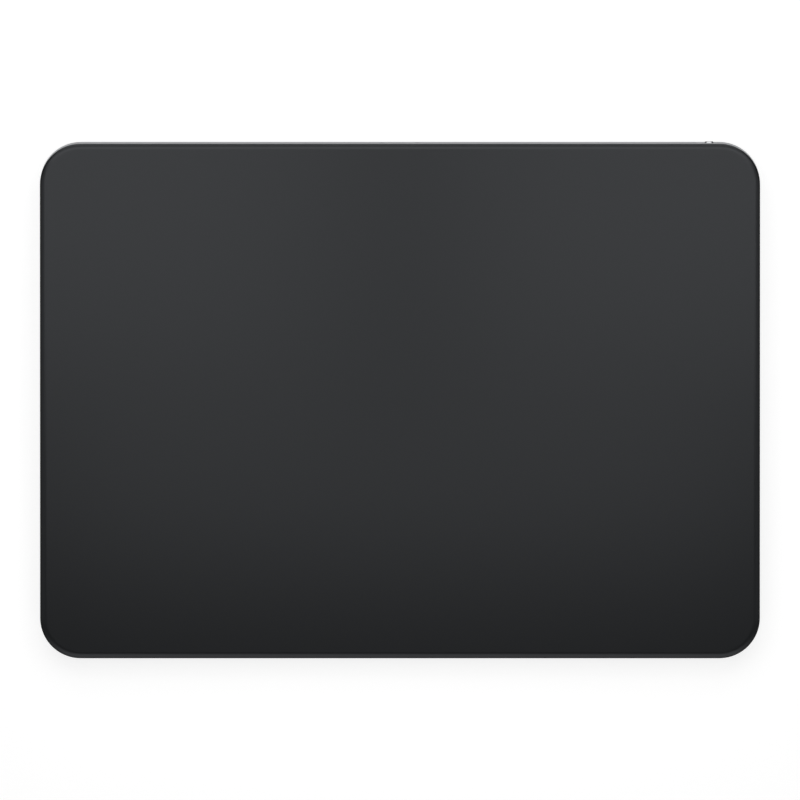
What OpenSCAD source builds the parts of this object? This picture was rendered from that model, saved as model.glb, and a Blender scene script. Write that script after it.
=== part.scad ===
// Wedge-shaped wireless trackpad with a dark glass top, in millimetres.
// X runs across the pad, +Y points to its rear edge and +Z is up from the desk.
// The origin lies on the desk, under the middle of the pad's outline.
// The glass slopes, so most pieces are drawn square to it, in the deck frame:
// there Y is the distance from the middle of the glass along its slope,
// and Z is the level, which is zero on the glass and negative below it.

/* [Pad] */
// Width of the pad
pad_w = 160; // [150:0.5:180]
// Depth of the pad, along the sloping glass
pad_d = 114.5; // [110:0.5:130]
// Height of the glass above the desk at the front edge
front_h = 4.9; // [4.7:0.1:6]
// Height of the glass above the desk at the rear edge
rear_h = 10.9; // [10.7:0.1:13]
// Corner radius of the pad in plan
corner_r = 9; // [7:0.5:12]

/* [Glass] */
// Thickness of the glass
glass_t = 1; // [0.8:0.05:1.2]
// Width of the soft curve along the edge of the glass
glass_edge_w = 1.5; // [0.8:0.1:2]
// Drop of that curve at the very edge
glass_edge_drop = 0.5; // [0.2:0.05:0.6]

/* [Touch sensor] */
// Thickness of the touch sensor board
sensor_t = 0.6; // [0.4:0.05:0.75]
// Gap between the sensor board and the wall of its pocket
sensor_gap = 0.3; // [0.1:0.05:0.6]
// Thickness of the adhesive under the glass
bond_t = 0.1; // [0.05:0.01:0.2]
// Distance that the adhesive stays back from an edge
bond_inset = 0.2; // [0.1:0.05:0.4]

/* [Housing] */
// Thickness of the housing's side walls
wall_t = 1.8; // [1.5:0.1:2.4]
// Thickness of the web under the touch sensor
web_t = 0.7; // [0.6:0.05:0.85]
// Width of the rim that carries the glass
rim_w = 2.2; // [1.8:0.1:3]

/* [Bottom cover] */
// Thickness of the bottom cover
cover_t = 0.9; // [0.7:0.05:1.1]
// Width of the housing's edge that shows round the cover
cover_border = 1; // [0.8:0.05:1.2]
// Gap between the cover and the housing
cover_gap = 0.1; // [0.05:0.05:0.2]
// Thickness of the tape that holds the cover
tape_t = 0.1; // [0.05:0.01:0.2]

/* [Feet] */
// Height of the cover above the desk
foot_stand = 0.7; // [0.5:0.05:0.9]
// Radius of a foot
foot_r = 5; // [4:0.25:6]
// Thickness of the rubber pad
foot_pad_t = 0.8; // [0.6:0.05:1]
// Rounding of the rubber pad's lower edge
foot_edge_r = 0.3; // [0.1:0.05:0.5]
// Gap between a foot and its hole in the cover
foot_gap = 0.3; // [0.2:0.05:0.5]
// Distance from the pad's side to the middle of a foot
foot_inset_x = 13; // [12:0.5:18]
// Distance from the pad's front or rear edge to the middle of a foot
foot_inset_y = 16.5; // [15:0.5:20]
// Radius of the rivet that holds a foot to its flexure
rivet_r = 1; // [0.7:0.1:1.2]
// Radius of the rivet's head
rivet_head_r = 1.6; // [1.4:0.1:2]
// Thickness of the rivet's head
rivet_head_t = 0.2; // [0.15:0.05:0.3]

/* [Force sensors] */
// Thickness of the steel flexures
flexure_t = 0.4; // [0.3:0.05:0.5]
// Distance from the middle of a foot to the middle of its flexure's root
flexure_reach = 15; // [14:0.5:18]
// Width of the flexure's neck
flexure_neck_w = 5; // [4:0.25:6]
// Radius of the flexure's tip
flexure_tip_r = 4; // [3:0.25:4.5]
// Size of the flexure's root across the pad
flexure_root_w = 7; // [6.5:0.25:8]
// Size of the flexure's root along the pad
flexure_root_d = 9; // [8.5:0.25:11]
// Distance between the two screws of a root
flexure_screw_pitch = 5.2; // [4.5:0.1:6]
// Length of a strain gauge
gauge_len = 4.5; // [3:0.25:5.5]
// Width of a strain gauge
gauge_w = 3; // [2:0.25:3.5]
// Thickness of a strain gauge
gauge_t = 0.05; // [0.03:0.01:0.08]

/* [Screws] */
// Radius of a screw's shank
screw_r = 0.55; // [0.45:0.05:0.65]
// Gap between a shank and its hole
screw_gap = 0.05; // [0.03:0.01:0.1]
// Radius of a screw's head
screw_head_r = 1.2; // [1:0.05:1.4]
// Thickness of a screw's head
screw_head_t = 0.4; // [0.3:0.05:0.5]
// Gap between the heads under the flexures and the cover
screw_head_gap = 0.1; // [0.05:0.05:0.3]
// Radius of the hexagonal drive in a head
screw_drive_r = 0.55; // [0.4:0.05:0.7]
// Depth of that drive
screw_drive_depth = 0.25; // [0.15:0.05:0.3]
// Length of thread in a boss
screw_grip = 0.85; // [0.7:0.05:1]
// Length of thread in the bare web
web_screw_grip = 0.45; // [0.35:0.05:0.5]
// Radius of a screw boss
boss_r = 1.6; // [1.3:0.1:1.8]

/* [Main board] */
// Width of the main board
board_w = 92; // [82:1:102]
// Depth of the main board
board_d = 9; // [8.5:0.25:10]
// Thickness of the main board
board_t = 0.8; // [0.6:0.05:1]
// Height of the bosses that the boards hang from
board_lift = 0.4; // [0.3:0.05:0.6]
// Gap between the main board and the rear wall
board_wall_gap = 0.95; // [0.6:0.05:1.4]
// Gap between a chip and the head of the end screw beside it
board_screw_gap = 3.3; // [1:0.1:4]
// Side of the square chips
chip_w = 5; // [4:0.25:5.5]
// Height of the chips
chip_h = 0.9; // [0.6:0.05:1.2]
// Gap between a chip and the connector beside it
chip_gap = 2.6; // [1:0.1:4]
// Length of the shield can
shield_w = 9; // [7:0.5:11]
// Depth of the shield can
shield_d = 7; // [6:0.25:8]
// Height of the shield can
shield_h = 1.4; // [1:0.1:1.8]
// Gap between the shield can and the head of the end screw beside it
shield_gap = 1.8; // [1:0.1:3]
// Height of the ribbon connectors
connector_h = 0.9; // [0.6:0.05:1.2]
// Length of a ribbon connector, along its ribbon
connector_len = 3.5; // [2.5:0.25:4]

/* [Charging socket] */
// Width of the socket's shell
socket_w = 8.94; // [8.5:0.02:9.3]
// Height of the socket's shell
socket_h = 3.2; // [3:0.05:3.5]
// Wall of the shell
socket_wall = 0.3; // [0.2:0.05:0.4]
// Length of the shell
socket_len = 7; // [6:0.25:8]
// Distance of the mouth behind the rear face
socket_recess = 0.25; // [0.1:0.05:0.5]
// Gap between the shell and its hole in the rear wall
socket_gap = 0.15; // [0.1:0.05:0.3]
// Length of the insulator at the back of the shell
insulator_len = 1.8; // [1.2:0.1:2.2]
// Gap between the insulator and the shell
insulator_gap = 0.05; // [0.03:0.01:0.1]
// Width of the tongue
tongue_w = 6.7; // [6:0.1:7]
// Thickness of the tongue
tongue_t = 0.7; // [0.5:0.05:0.8]
// Distance of the tongue's end behind the mouth
tongue_recess = 0.6; // [0.4:0.05:1]
// Contacts on each face of the tongue
contacts = 12; // [8:2:12]
// Distance from one contact to the next
contact_pitch = 0.5; // [0.45:0.01:0.52]
// Width of a contact
contact_w = 0.28; // [0.2:0.02:0.32]
// Thickness of a contact
contact_t = 0.06; // [0.04:0.01:0.1]
// Distance of the contacts behind the tongue's end
contact_inset = 0.5; // [0.3:0.05:0.8]
// Thickness of the saddle's sheet
saddle_t = 0.5; // [0.3:0.05:0.7]
// Depth of the saddle
saddle_d = 4; // [3.5:0.25:4.5]
// Gap between the saddle's legs and the shell
saddle_gap = 0.1; // [0.05:0.05:0.2]
// Length of the saddle's ears
saddle_ear = 5; // [4.5:0.25:5.5]

/* [Power switch] */
// Length of the switch slot
slot_len = 4.9; // [4.4:0.1:5.4]
// Height of the switch slot
slot_h = 2.4; // [2.3:0.1:2.8]
// Corner radius of the switch slot
slot_r = 1.1; // [0.6:0.05:1.15]
// Distance from the pad's side to the middle of the slot
slot_inset = 12.4; // [12:0.1:14]
// Width of the slider in its slot
slider_w = 2.6; // [2.3:0.05:2.8]
// Gap round the slider in its slot
slider_gap = 0.05; // [0.03:0.01:0.1]
// Distance of the slider's face behind the rear face
slider_recess = 0.1; // [0.05:0.05:0.3]
// Width of the nub on the slider
nub_w = 2; // [1.8:0.05:2.2]
// Height of the nub on the slider
nub_h = 1.5; // [1.2:0.05:1.7]
// Height of the nub's crown above the rear face
nub_rise = 0.35; // [0.3:0.05:0.6]
// Drop from the nub's crown to its ends
nub_crown = 0.1; // [0.05:0.01:0.2]
// Width of the bevels at the nub's ends
nub_bevel_w = 0.5; // [0.3:0.05:0.6]
// Height of the bevels at the nub's ends
nub_bevel_h = 0.37; // [0.25:0.01:0.45]
// Thickness of the flange that holds the slider in
flange_t = 0.7; // [0.5:0.05:0.8]
// Gap between the flange and the rear wall
flange_gap = 0.15; // [0.1:0.05:0.3]
// Overlap of the flange over the slot's long edges
flange_lap = 0.6; // [0.4:0.05:0.8]
// Thickness of the tail that reaches the stem
tail_t = 0.5; // [0.3:0.05:0.7]
// Gap between the tail and the backing plate above it
tail_gap = 0.2; // [0.15:0.05:0.4]
// Side of the square stem
stem_w = 1.2; // [0.8:0.05:1.4]
// Gap round the stem in the switch body
stem_gap = 0.15; // [0.1:0.05:0.2]
// Depth of the stem's slot in the switch body
stem_depth = 1.2; // [0.8:0.05:1.6]
// Width of the switch body
switch_w = 7; // [6:0.25:8]
// Depth of the switch body
switch_d = 3.7; // [3.4:0.1:4]
// Height of the switch body below its board
switch_h = 2.6; // [2.4:0.1:2.8]
// Thickness of the backing plate behind the slot
backing_t = 0.5; // [0.3:0.05:0.6]
// Gap between the backing plate and the slider
backing_gap = 0.15; // [0.1:0.05:0.3]
// Thickness of the green mark on the backing plate
mark_t = 0.05; // [0.03:0.01:0.1]
// Length of the switch board to the left of the slot
switch_board_left = 11; // [10.5:0.25:12]
// Length of the switch board to the right of the slot
switch_board_right = 7.5; // [7.25:0.05:7.75]
// Depth of the switch board
switch_board_d = 3.6; // [3.4:0.1:3.8]
// Distance between the two screws of the switch board
switch_screw_pitch = 12; // [11:0.25:12.5]

/* [Battery] */
// Width of the battery cell
battery_w = 82; // [70:1:83]
// Depth of the battery cell
battery_d = 31; // [26:0.5:34]
// Thickness of the battery cell
battery_t = 3.8; // [3:0.1:4]
// Rounding of the cell's long edges
battery_edge_r = 0.5; // [0.3:0.05:0.7]
// Thickness of the tape that holds the cell
battery_tape_t = 0.15; // [0.1:0.01:0.2]
// Width of one strip of that tape
battery_tape_w = 14; // [8:0.5:20]
// Width of the protection board
protection_w = 44; // [42:0.5:60]
// Depth of the protection board
protection_d = 3.5; // [3:0.1:4]
// Thickness of the protection board
protection_t = 0.5; // [0.4:0.05:0.7]
// Gap between the protection board and the main board
protection_gap = 0.9; // [0.5:0.1:1.5]

/* [Haptic actuator] */
// Width of the actuator's frame
haptic_w = 60; // [56:0.5:70]
// Depth of the actuator's frame
haptic_d = 28; // [26:0.5:32]
// Gap between the actuator and the battery
haptic_gap = 5; // [3:0.5:7]
// Thickness of the frame's plate
haptic_plate_t = 0.4; // [0.3:0.05:0.5]
// Height of a coil
coil_h = 0.6; // [0.4:0.05:0.7]
// Width of a coil
coil_w = 20; // [18:0.5:21]
// Depth of a coil
coil_d = 18; // [16:0.5:18.5]
// Width of a coil's winding
coil_band = 6; // [5:0.25:7]
// Corner radius of a coil
coil_r = 4; // [3:0.25:5]
// Distance from one coil's middle to the other's
coil_pitch = 24; // [23:0.25:25]
// Gap between the coils and the magnets
air_gap = 0.2; // [0.15:0.05:0.3]
// Width of a magnet
magnet_w = 6.5; // [5:0.25:7]
// Depth of a magnet
magnet_d = 16; // [13:0.5:17]
// Thickness of a magnet
magnet_t = 0.5; // [0.4:0.05:0.6]
// Distance between the two magnets under a coil
magnet_pitch = 12; // [11:0.25:13]
// Thickness of the yoke's plate
yoke_t = 0.5; // [0.4:0.05:0.6]
// Width of the weight rails on the yoke
rail_w = 1.6; // [1.2:0.1:1.8]
// Gap between the rails and the coils
rail_gap = 0.4; // [0.3:0.05:0.6]
// Thickness of a leaf spring
leaf_t = 0.2; // [0.15:0.05:0.3]
// Height of a leaf spring
leaf_h = 1.1; // [0.8:0.05:1.2]
// Distance from the yoke's plate to a leaf spring
leaf_gap = 2.5; // [2:0.1:3]
// Width of the posts that hold the leaf springs
post_w = 2.4; // [2:0.1:3]
// Depth of those posts
post_d = 1.5; // [1.2:0.1:2]
// Distance from a leaf spring to the end of the frame
post_margin = 2.4; // [2:0.1:3]
// Depth of the pads that tie the yoke to the leaf springs
tie_d = 3; // [2:0.25:4]
// Length of the screw ears on the frame
ear_len = 4; // [3.5:0.25:5]
// Depth of the screw ears on the frame
ear_d = 4; // [3.5:0.25:5]
// Distance between the ears on one side
ear_pitch = 22; // [20:0.5:24]

/* [Ribbons and radio] */
// Thickness of the ribbons
ribbon_t = 0.15; // [0.1:0.01:0.2]
// Width of the touch sensor's ribbon
sensor_ribbon_w = 7; // [5:0.25:7.5]
// Distance from the pad's side to the sensor ribbon's drop
sensor_ribbon_inset = 23; // [22:0.5:24]
// Gap round the sensor ribbon in the web
sensor_ribbon_gap = 0.6; // [0.3:0.05:1]
// Width of the switch ribbon
switch_ribbon_w = 3; // [2:0.25:3.4]
// Width of the battery lead
lead_w = 5; // [3:0.25:5.5]
// Gap between the battery lead and the antenna pins
lead_gap = 1.9; // [1:0.1:3]
// Width of the haptic lead
haptic_ribbon_w = 2.4; // [1.8:0.1:2.6]
// Distance from the end of the main board to the haptic lead
haptic_ribbon_inset = 2.8; // [2.6:0.1:3]
// Width of a force sensor ribbon
force_ribbon_w = 1.4; // [1:0.1:1.5]
// Gap between a force sensor ribbon and the bosses beside it
force_ribbon_gap = 0.3; // [0.2:0.05:0.4]
// Length of a ribbon's end on the main board
ribbon_end = 2.4; // [1.8:0.1:2.8]
// Width of the radio antenna
antenna_w = 24; // [18:0.5:30]
// Depth of the radio antenna
antenna_d = 5; // [4:0.25:6]
// Thickness of the radio antenna
antenna_t = 0.15; // [0.1:0.01:0.2]
// Gap between the antenna pins and the head of the end screw beside them
pin_gap = 1.2; // [0.6:0.1:2]
// Radius of an antenna pin
pin_r = 0.6; // [0.4:0.05:0.7]
// Distance between the two antenna pins
pin_pitch = 2; // [1.8:0.05:2.1]

/* [Hidden] */
$fn = 96;
// Overshoot of a cut past the face that it opens
cut = 1;
// A height that goes right through the pad
through = 3 * rear_h;

// Slope of the glass, and the height of its middle
tilt = asin((rear_h - front_h) / pad_d);
deck_z = (front_h + rear_h) / 2;

// Levels in the deck frame, from the glass down
rim_level = -glass_t - bond_t;
web_level = rim_level - sensor_t;
ceiling = web_level - web_t;
board_top = ceiling - board_lift;
board_under = board_top - board_t;
socket_level = board_under - socket_h / 2;
slot_level = socket_level;
battery_top = ceiling - battery_tape_t;
protection_top = battery_top - battery_edge_r;
protection_under = protection_top - protection_t;
haptic_under = ceiling - haptic_plate_t;
coil_under = haptic_under - coil_h;
magnet_top = coil_under - air_gap;
yoke_top = magnet_top - magnet_t;
yoke_under = yoke_top - yoke_t;

// Distances along the slope
wall_v = pad_d / 2 - wall_t;
board_v = wall_v - board_wall_gap - board_d / 2;
socket_mouth = pad_d / 2 - socket_recess;
socket_back = socket_mouth - socket_len;
saddle_v = socket_back + saddle_d / 2;
battery_rear = board_v - board_d / 2 - protection_gap - protection_d;
battery_v = battery_rear - battery_d / 2;
haptic_v = battery_v - battery_d / 2 - haptic_gap - haptic_d / 2;

// Where the deck lies, so that the outline is centred on the origin
front_reach = pad_d / 2 * cos(tilt) - glass_edge_drop * sin(tilt);
nub_reach = (pad_d / 2 + nub_rise) * cos(tilt) - slot_level * sin(tilt);
base_reach = pad_d / 2 * cos(tilt) + (rear_h - foot_stand) * tan(tilt);
deck_y = (front_reach - max(nub_reach, base_reach)) / 2;

// Heights above the desk
cover_top = foot_stand + cover_t;
ledge_z = cover_top + tape_t;
flexure_z = cover_top + screw_head_gap + screw_head_t;
flexure_top = flexure_z + flexure_t;

// Depth of the outline on a plane parallel to the desk
base_d = pad_d / cos(tilt);

// Places of the feet and of the roots of their flexures
foot_x = pad_w / 2 - foot_inset_x;
foot_y = pad_d / 2 - foot_inset_y;
root_x = foot_x - flexure_reach;
force_x = root_x + boss_r + force_ribbon_gap + force_ribbon_w / 2;

// Soft curve of the glass edge, and crown of the switch nub
glass_edge_r = (glass_edge_w ^ 2 + glass_edge_drop ^ 2) / (2 * glass_edge_drop);
nub_crown_r = ((nub_w / 2) ^ 2 + nub_crown ^ 2) / (2 * nub_crown);

// Power switch, at rest at the right end of its slot
slot_x = pad_w / 2 - slot_inset;
slider_travel = slot_len - slider_w - 2 * slider_gap;
slider_x = slot_x + slider_travel / 2;
flange_v = wall_v - flange_gap - flange_t;
backing_v = flange_v - backing_gap - mark_t - backing_t;
switch_v = backing_v - switch_d / 2;
switch_under = board_under - switch_h;
switch_board_v = switch_v - (switch_d - switch_board_d) / 2;
stem_v = switch_v;
tail_top = switch_under - tail_gap;

// Haptic actuator: leaf springs, posts and the yoke between them
leaf_x = haptic_w / 2 - post_margin;
yoke_w = 2 * (leaf_x - leaf_gap);
yoke_d = coil_d + 2 * (rail_gap + rail_w);
leaf_len = haptic_d - 2 * post_d;
ear_x = haptic_w / 2 + ear_len / 2;

// Places across the main board, from its ends inwards
connector_x = board_w / 2 - ribbon_end - connector_len / 2;
chip_x = connector_x - connector_len / 2 - chip_gap - chip_w / 2;
board_screw_x = chip_x - chip_w / 2 - board_screw_gap - screw_head_r;
shield_x = board_screw_x - screw_head_r - shield_gap - shield_w / 2;
pin_x = board_screw_x - screw_head_r - pin_gap - pin_r - pin_pitch / 2;
lead_x = pin_x - pin_pitch / 2 - pin_r - lead_gap - lead_w / 2;

// Ribbons that leave the main board at its ends
haptic_ribbon_x = board_w / 2 - haptic_ribbon_inset;
sensor_ribbon_x = pad_w / 2 - sensor_ribbon_inset;

// Height above the desk of a level in the deck frame, over a place on the desk
function deck_height(y, level) =
    deck_z + (y - deck_y + level * sin(tilt)) * tan(tilt) + level * cos(tilt);

// Distance along the slope of a level in the deck frame, over a place on the desk
function deck_v(y, level) = (y - deck_y + level * sin(tilt)) / cos(tilt);

// Middle of the pad's outline on a plane at height z
function outline_y(z) = deck_y + (deck_z - z) * tan(tilt);

// Places of the screws and bosses, as [x, distance along the slope]
board_screw_spots = [for (side = [-1, 1]) [side * board_screw_x, board_v]];
saddle_ear_x = socket_w / 2 + saddle_gap + saddle_t + saddle_ear / 2;
saddle_screw_spots = [for (side = [-1, 1]) [side * saddle_ear_x, saddle_v]];
switch_screw_spots = [for (side = [-1, 1]) [slot_x + side * switch_screw_pitch / 2, switch_board_v]];
haptic_screw_spots = [
    for (side = [-1, 1], end = [-1, 1]) [side * ear_x, haptic_v + end * ear_pitch / 2]
];
root_screw_spots = [
    for (side = [-1, 1], end = [-1, 1], row = [-1, 1])
        [side * root_x, end * foot_y + row * flexure_screw_pitch / 2]
];

// Frame that lies square to the sloping glass
module deck() {
    translate([0, deck_y, deck_z]) rotate([tilt, 0, 0]) children();
}

module pill(w, h) {
    square([w - h, h], center = true);
    for (side = [-1, 1]) translate([side * (w - h) / 2, 0]) circle(d = h);
}

module bevelled_rect(w, h, bevel_w, bevel_h) {
    polygon([
        [-w / 2, bevel_h - h / 2], [bevel_w - w / 2, -h / 2],
        [w / 2 - bevel_w, -h / 2], [w / 2, bevel_h - h / 2],
        [w / 2, h / 2 - bevel_h], [w / 2 - bevel_w, h / 2],
        [bevel_w - w / 2, h / 2], [-w / 2, h / 2 - bevel_h]
    ]);
}

module rounded_rect(w, d, r) {
    square([w - 2 * r, d], center = true);
    square([w, d - 2 * r], center = true);
    for (x = [-1, 1], y = [-1, 1]) translate([x * (w / 2 - r), y * (d / 2 - r)]) circle(r);
}

// Plate of the pad's outline, set in from its edge, between two levels
module pad_plate(inset, bottom, top) {
    translate([0, 0, bottom])
        linear_extrude(top - bottom) rounded_rect(pad_w - 2 * inset, pad_d - 2 * inset, corner_r - inset);
}

// Plate of the outline at the base, parallel to the desk, between two heights
module base_plate(inset, bottom, top) {
    translate([0, outline_y(foot_stand), bottom])
        linear_extrude(top - bottom) rounded_rect(pad_w - 2 * inset, base_d - 2 * inset, corner_r - inset);
}

// Block below a level, centred on a place
module hang(w, d, t, x, v, level) {
    translate([x, v, level - t / 2]) cube([w, d, t], center = true);
}

// Bar of a given section that runs towards the rear wall
module rear_bar(x, level, from, to) {
    translate([x, from, level]) rotate([-90, 0, 0]) linear_extrude(to - from) children();
}

// Passes the distance from the middle to the edge on to a section
module half_section($half) {
    children();
}

module whole_section(half) {
    half_section(half) children();
    mirror([1, 0]) half_section(half) children();
}

// Slab with rounded corners whose edge all round follows the section
module edged_slab(w, d, r) {
    rotate([90, 0, 90]) linear_extrude(w - 2 * r, center = true) whole_section(d / 2) children();
    rotate([90, 0, 0]) linear_extrude(d - 2 * r, center = true) whole_section(w / 2) children();
    for (x = [-1, 1], y = [-1, 1])
        translate([x * (w / 2 - r), y * (d / 2 - r), 0]) rotate_extrude() half_section(r) children();
}

// Flat glass whose edge falls away in an arc
module glass_section() {
    intersection() {
        translate([0, -glass_t]) square([$half, glass_t]);
        union() {
            translate([0, -glass_t]) square([$half - glass_edge_w, glass_t]);
            translate([$half - glass_edge_w, -glass_edge_r]) circle(glass_edge_r);
        }
    }
}

// Screw that points up, with the seat of its head at zero
module screw(len) {
    difference() {
        union() {
            cylinder(r = screw_r, h = len);
            translate([0, 0, -screw_head_t]) cylinder(r = screw_head_r, h = screw_head_t);
        }
        translate([0, 0, -screw_head_t - cut])
            cylinder(r = screw_drive_r, h = cut + screw_drive_depth, $fn = 6);
    }
}

// Hole for a screw, from a level upwards
module screw_hole(bottom, top) {
    translate([0, 0, bottom - cut]) cylinder(r = screw_r + screw_gap, h = top - bottom + cut);
}

module deck_screws(spots, seat, len) {
    deck() for (spot = spots) translate([spot.x, spot.y, seat]) screw(len);
}

module deck_holes(spots, bottom, top) {
    for (spot = spots) translate([spot.x, spot.y, 0]) screw_hole(bottom, top);
}

module glass_top() {
    color("#35373a") deck() edged_slab(pad_w, pad_d, corner_r) glass_section();
}

module bond_sheet() {
    color("#8b9094") deck() pad_plate(rim_w + sensor_gap + bond_inset, rim_level, -glass_t);
}

module bond_frame() {
    color("#2c2c2e") deck() difference() {
        pad_plate(bond_inset, rim_level, -glass_t);
        pad_plate(rim_w - bond_inset, rim_level - cut, -glass_t + cut);
    }
}

module touch_sensor_board() {
    color("#1f3a2c") deck() pad_plate(rim_w + sensor_gap, web_level, rim_level);
}

// Outer wall, web and ledge, before the bosses and the holes
module housing_shell() {
    difference() {
        deck() pad_plate(0, -through, rim_level);
        translate([-pad_w, -pad_d, foot_stand - 2 * through])
            cube([2 * pad_w, 2 * pad_d, 2 * through]);
        deck() pad_plate(rim_w, web_level, rim_level + cut);
        deck() pad_plate(wall_t, -through, ceiling);
        base_plate(cover_border, foot_stand - cut, ledge_z);
    }
}

module housing_bosses() {
    for (spot = root_screw_spots) {
        boss_top = deck_height(spot.y, ceiling) + web_t / 2;
        translate([spot.x, spot.y, flexure_top]) cylinder(r = boss_r, h = boss_top - flexure_top);
    }
    deck() for (spot = concat(board_screw_spots, saddle_screw_spots, switch_screw_spots))
        translate([spot.x, spot.y, board_top]) cylinder(r = boss_r, h = board_lift + web_t / 2);
}

module housing() {
    color("#c6c7c9") difference() {
        union() {
            housing_shell();
            housing_bosses();
        }
        for (spot = root_screw_spots)
            translate([spot.x, spot.y, 0]) screw_hole(flexure_top, flexure_top + screw_grip + screw_gap);
        deck() {
            deck_holes(board_screw_spots, board_top, board_top + screw_grip + screw_gap);
            deck_holes(saddle_screw_spots, board_top, board_top + screw_grip + screw_gap);
            deck_holes(switch_screw_spots, board_top, board_top + screw_grip + screw_gap);
            deck_holes(haptic_screw_spots, ceiling, ceiling + web_screw_grip + screw_gap);
            rear_bar(0, socket_level, wall_v - cut, pad_d / 2 + cut)
                pill(socket_w + 2 * socket_gap, socket_h + 2 * socket_gap);
            rear_bar(slot_x, slot_level, wall_v - cut, pad_d / 2 + cut)
                rounded_rect(slot_len, slot_h, slot_r);
            hang(ribbon_t + 2 * sensor_ribbon_gap, sensor_ribbon_w + 2 * sensor_ribbon_gap,
                web_t + 2 * cut, -sensor_ribbon_x, board_v, web_level + cut);
        }
    }
}

module bottom_cover() {
    color("#2b2c2e") difference() {
        base_plate(cover_border + cover_gap, foot_stand, cover_top);
        for (x = [-1, 1], y = [-1, 1])
            translate([x * foot_x, y * foot_y, foot_stand - cut])
                cylinder(r = foot_r + foot_gap, h = cover_t + 2 * cut);
    }
}

module cover_tape() {
    tape_inset = cover_border + 2 * cover_gap;
    color("#1a1a1b") difference() {
        base_plate(tape_inset, cover_top, ledge_z);
        base_plate(wall_t - cover_gap, cover_top - cut, ledge_z + cut);
    }
}

module foot_pad(x, y) {
    color("#1c1c1d") translate([x * foot_x, y * foot_y, 0]) rotate_extrude() {
        square([foot_r - foot_edge_r, foot_pad_t]);
        translate([0, foot_edge_r]) square([foot_r, foot_pad_t - foot_edge_r]);
        translate([foot_r - foot_edge_r, foot_edge_r]) circle(foot_edge_r);
    }
}

// Disc over the rubber pad, with the rivet that is closed over the flexure's tip
module foot_carrier(x, y) {
    color("#55575a") translate([x * foot_x, y * foot_y, 0]) {
        translate([0, 0, foot_pad_t]) cylinder(r = foot_r, h = flexure_z - foot_pad_t);
        translate([0, 0, foot_pad_t]) cylinder(r = rivet_r, h = flexure_top + rivet_head_t - foot_pad_t);
        translate([0, 0, flexure_top]) cylinder(r = rivet_head_r, h = rivet_head_t);
    }
}

// Leaf from the foot to its root, where two screws hold it to the housing
module flexure(x, y) {
    color("#a4a6a8") difference() {
        translate([0, y * foot_y, flexure_z]) linear_extrude(flexure_t) {
            translate([x * foot_x, 0]) circle(flexure_tip_r);
            translate([x * (foot_x + root_x) / 2, 0])
                square([flexure_reach, flexure_neck_w], center = true);
            translate([x * root_x, 0]) square([flexure_root_w, flexure_root_d], center = true);
        }
        translate([x * foot_x, y * foot_y, flexure_z - cut])
            cylinder(r = rivet_r + screw_gap, h = flexure_t + 2 * cut);
        for (spot = root_screw_spots)
            translate([spot.x, spot.y, 0]) screw_hole(flexure_z, flexure_top + cut);
    }
}

module strain_gauges() {
    neck_start = root_x + flexure_root_w / 2;
    neck_end = foot_x - flexure_tip_r;
    color("#b07a3c") for (x = [-1, 1], y = [-1, 1])
        translate([x * (neck_start + neck_end) / 2, y * foot_y, flexure_top + gauge_t / 2])
            cube([gauge_len, gauge_w, gauge_t], center = true);
}

module flexure_screws() {
    color("#6d6f72") for (spot = root_screw_spots)
        translate([spot.x, spot.y, flexure_z]) screw(flexure_t + screw_grip);
}

module main_board() {
    color("#16382a") deck() difference() {
        hang(board_w, board_d, board_t, 0, board_v, board_top);
        deck_holes(board_screw_spots, board_under, board_top + cut);
        deck_holes(saddle_screw_spots, board_under, board_top + cut);
    }
}

module board_screws() {
    color("#6d6f72") deck_screws(board_screw_spots, board_under, board_t + screw_grip);
}

module board_chips() {
    color("#202124") deck() for (side = [-1, 1])
        hang(chip_w, chip_w, chip_h, side * chip_x, board_v, board_under);
}

module shield_can() {
    color("#b9bbbd") deck() hang(shield_w, shield_d, shield_h, -shield_x, board_v, board_under);
}

// Sockets for the touch sensor's ribbon, the switch ribbon and the battery lead
module board_connectors() {
    lead_connector_v = board_v - board_d / 2 + ribbon_end + connector_len / 2;
    color("#e4e0d4") deck() {
        hang(connector_len, sensor_ribbon_w, connector_h, -connector_x, board_v, board_under);
        hang(connector_len, switch_ribbon_w, connector_h, connector_x, switch_board_v, board_under);
        hang(lead_w, connector_len, connector_h, lead_x, lead_connector_v, board_under);
    }
}

module charge_socket_shell() {
    color("#aeb0b3") deck() difference() {
        rear_bar(0, socket_level, socket_back, socket_mouth) pill(socket_w, socket_h);
        rear_bar(0, socket_level, socket_back - cut, socket_mouth + cut)
            pill(socket_w - 2 * socket_wall, socket_h - 2 * socket_wall);
    }
}

module charge_socket_tongue() {
    insulator_inset = 2 * (socket_wall + insulator_gap);
    tongue_end = socket_mouth - tongue_recess;
    color("#1b1b1c") deck() {
        rear_bar(0, socket_level, socket_back, socket_back + insulator_len)
            pill(socket_w - insulator_inset, socket_h - insulator_inset);
        hang(tongue_w, tongue_end - socket_back, tongue_t, 0, (tongue_end + socket_back) / 2,
            socket_level + tongue_t / 2);
    }
}

module charge_socket_contacts() {
    contact_front = socket_back + insulator_len;
    contact_end = socket_mouth - tongue_recess - contact_inset;
    color("#c9a24a") deck() for (face = [-1, 1], i = [0 : contacts - 1])
        translate([
            (i - (contacts - 1) / 2) * contact_pitch,
            (contact_front + contact_end) / 2,
            socket_level + face * (tongue_t + contact_t) / 2
        ]) cube([contact_w, contact_end - contact_front, contact_t], center = true);
}

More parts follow.
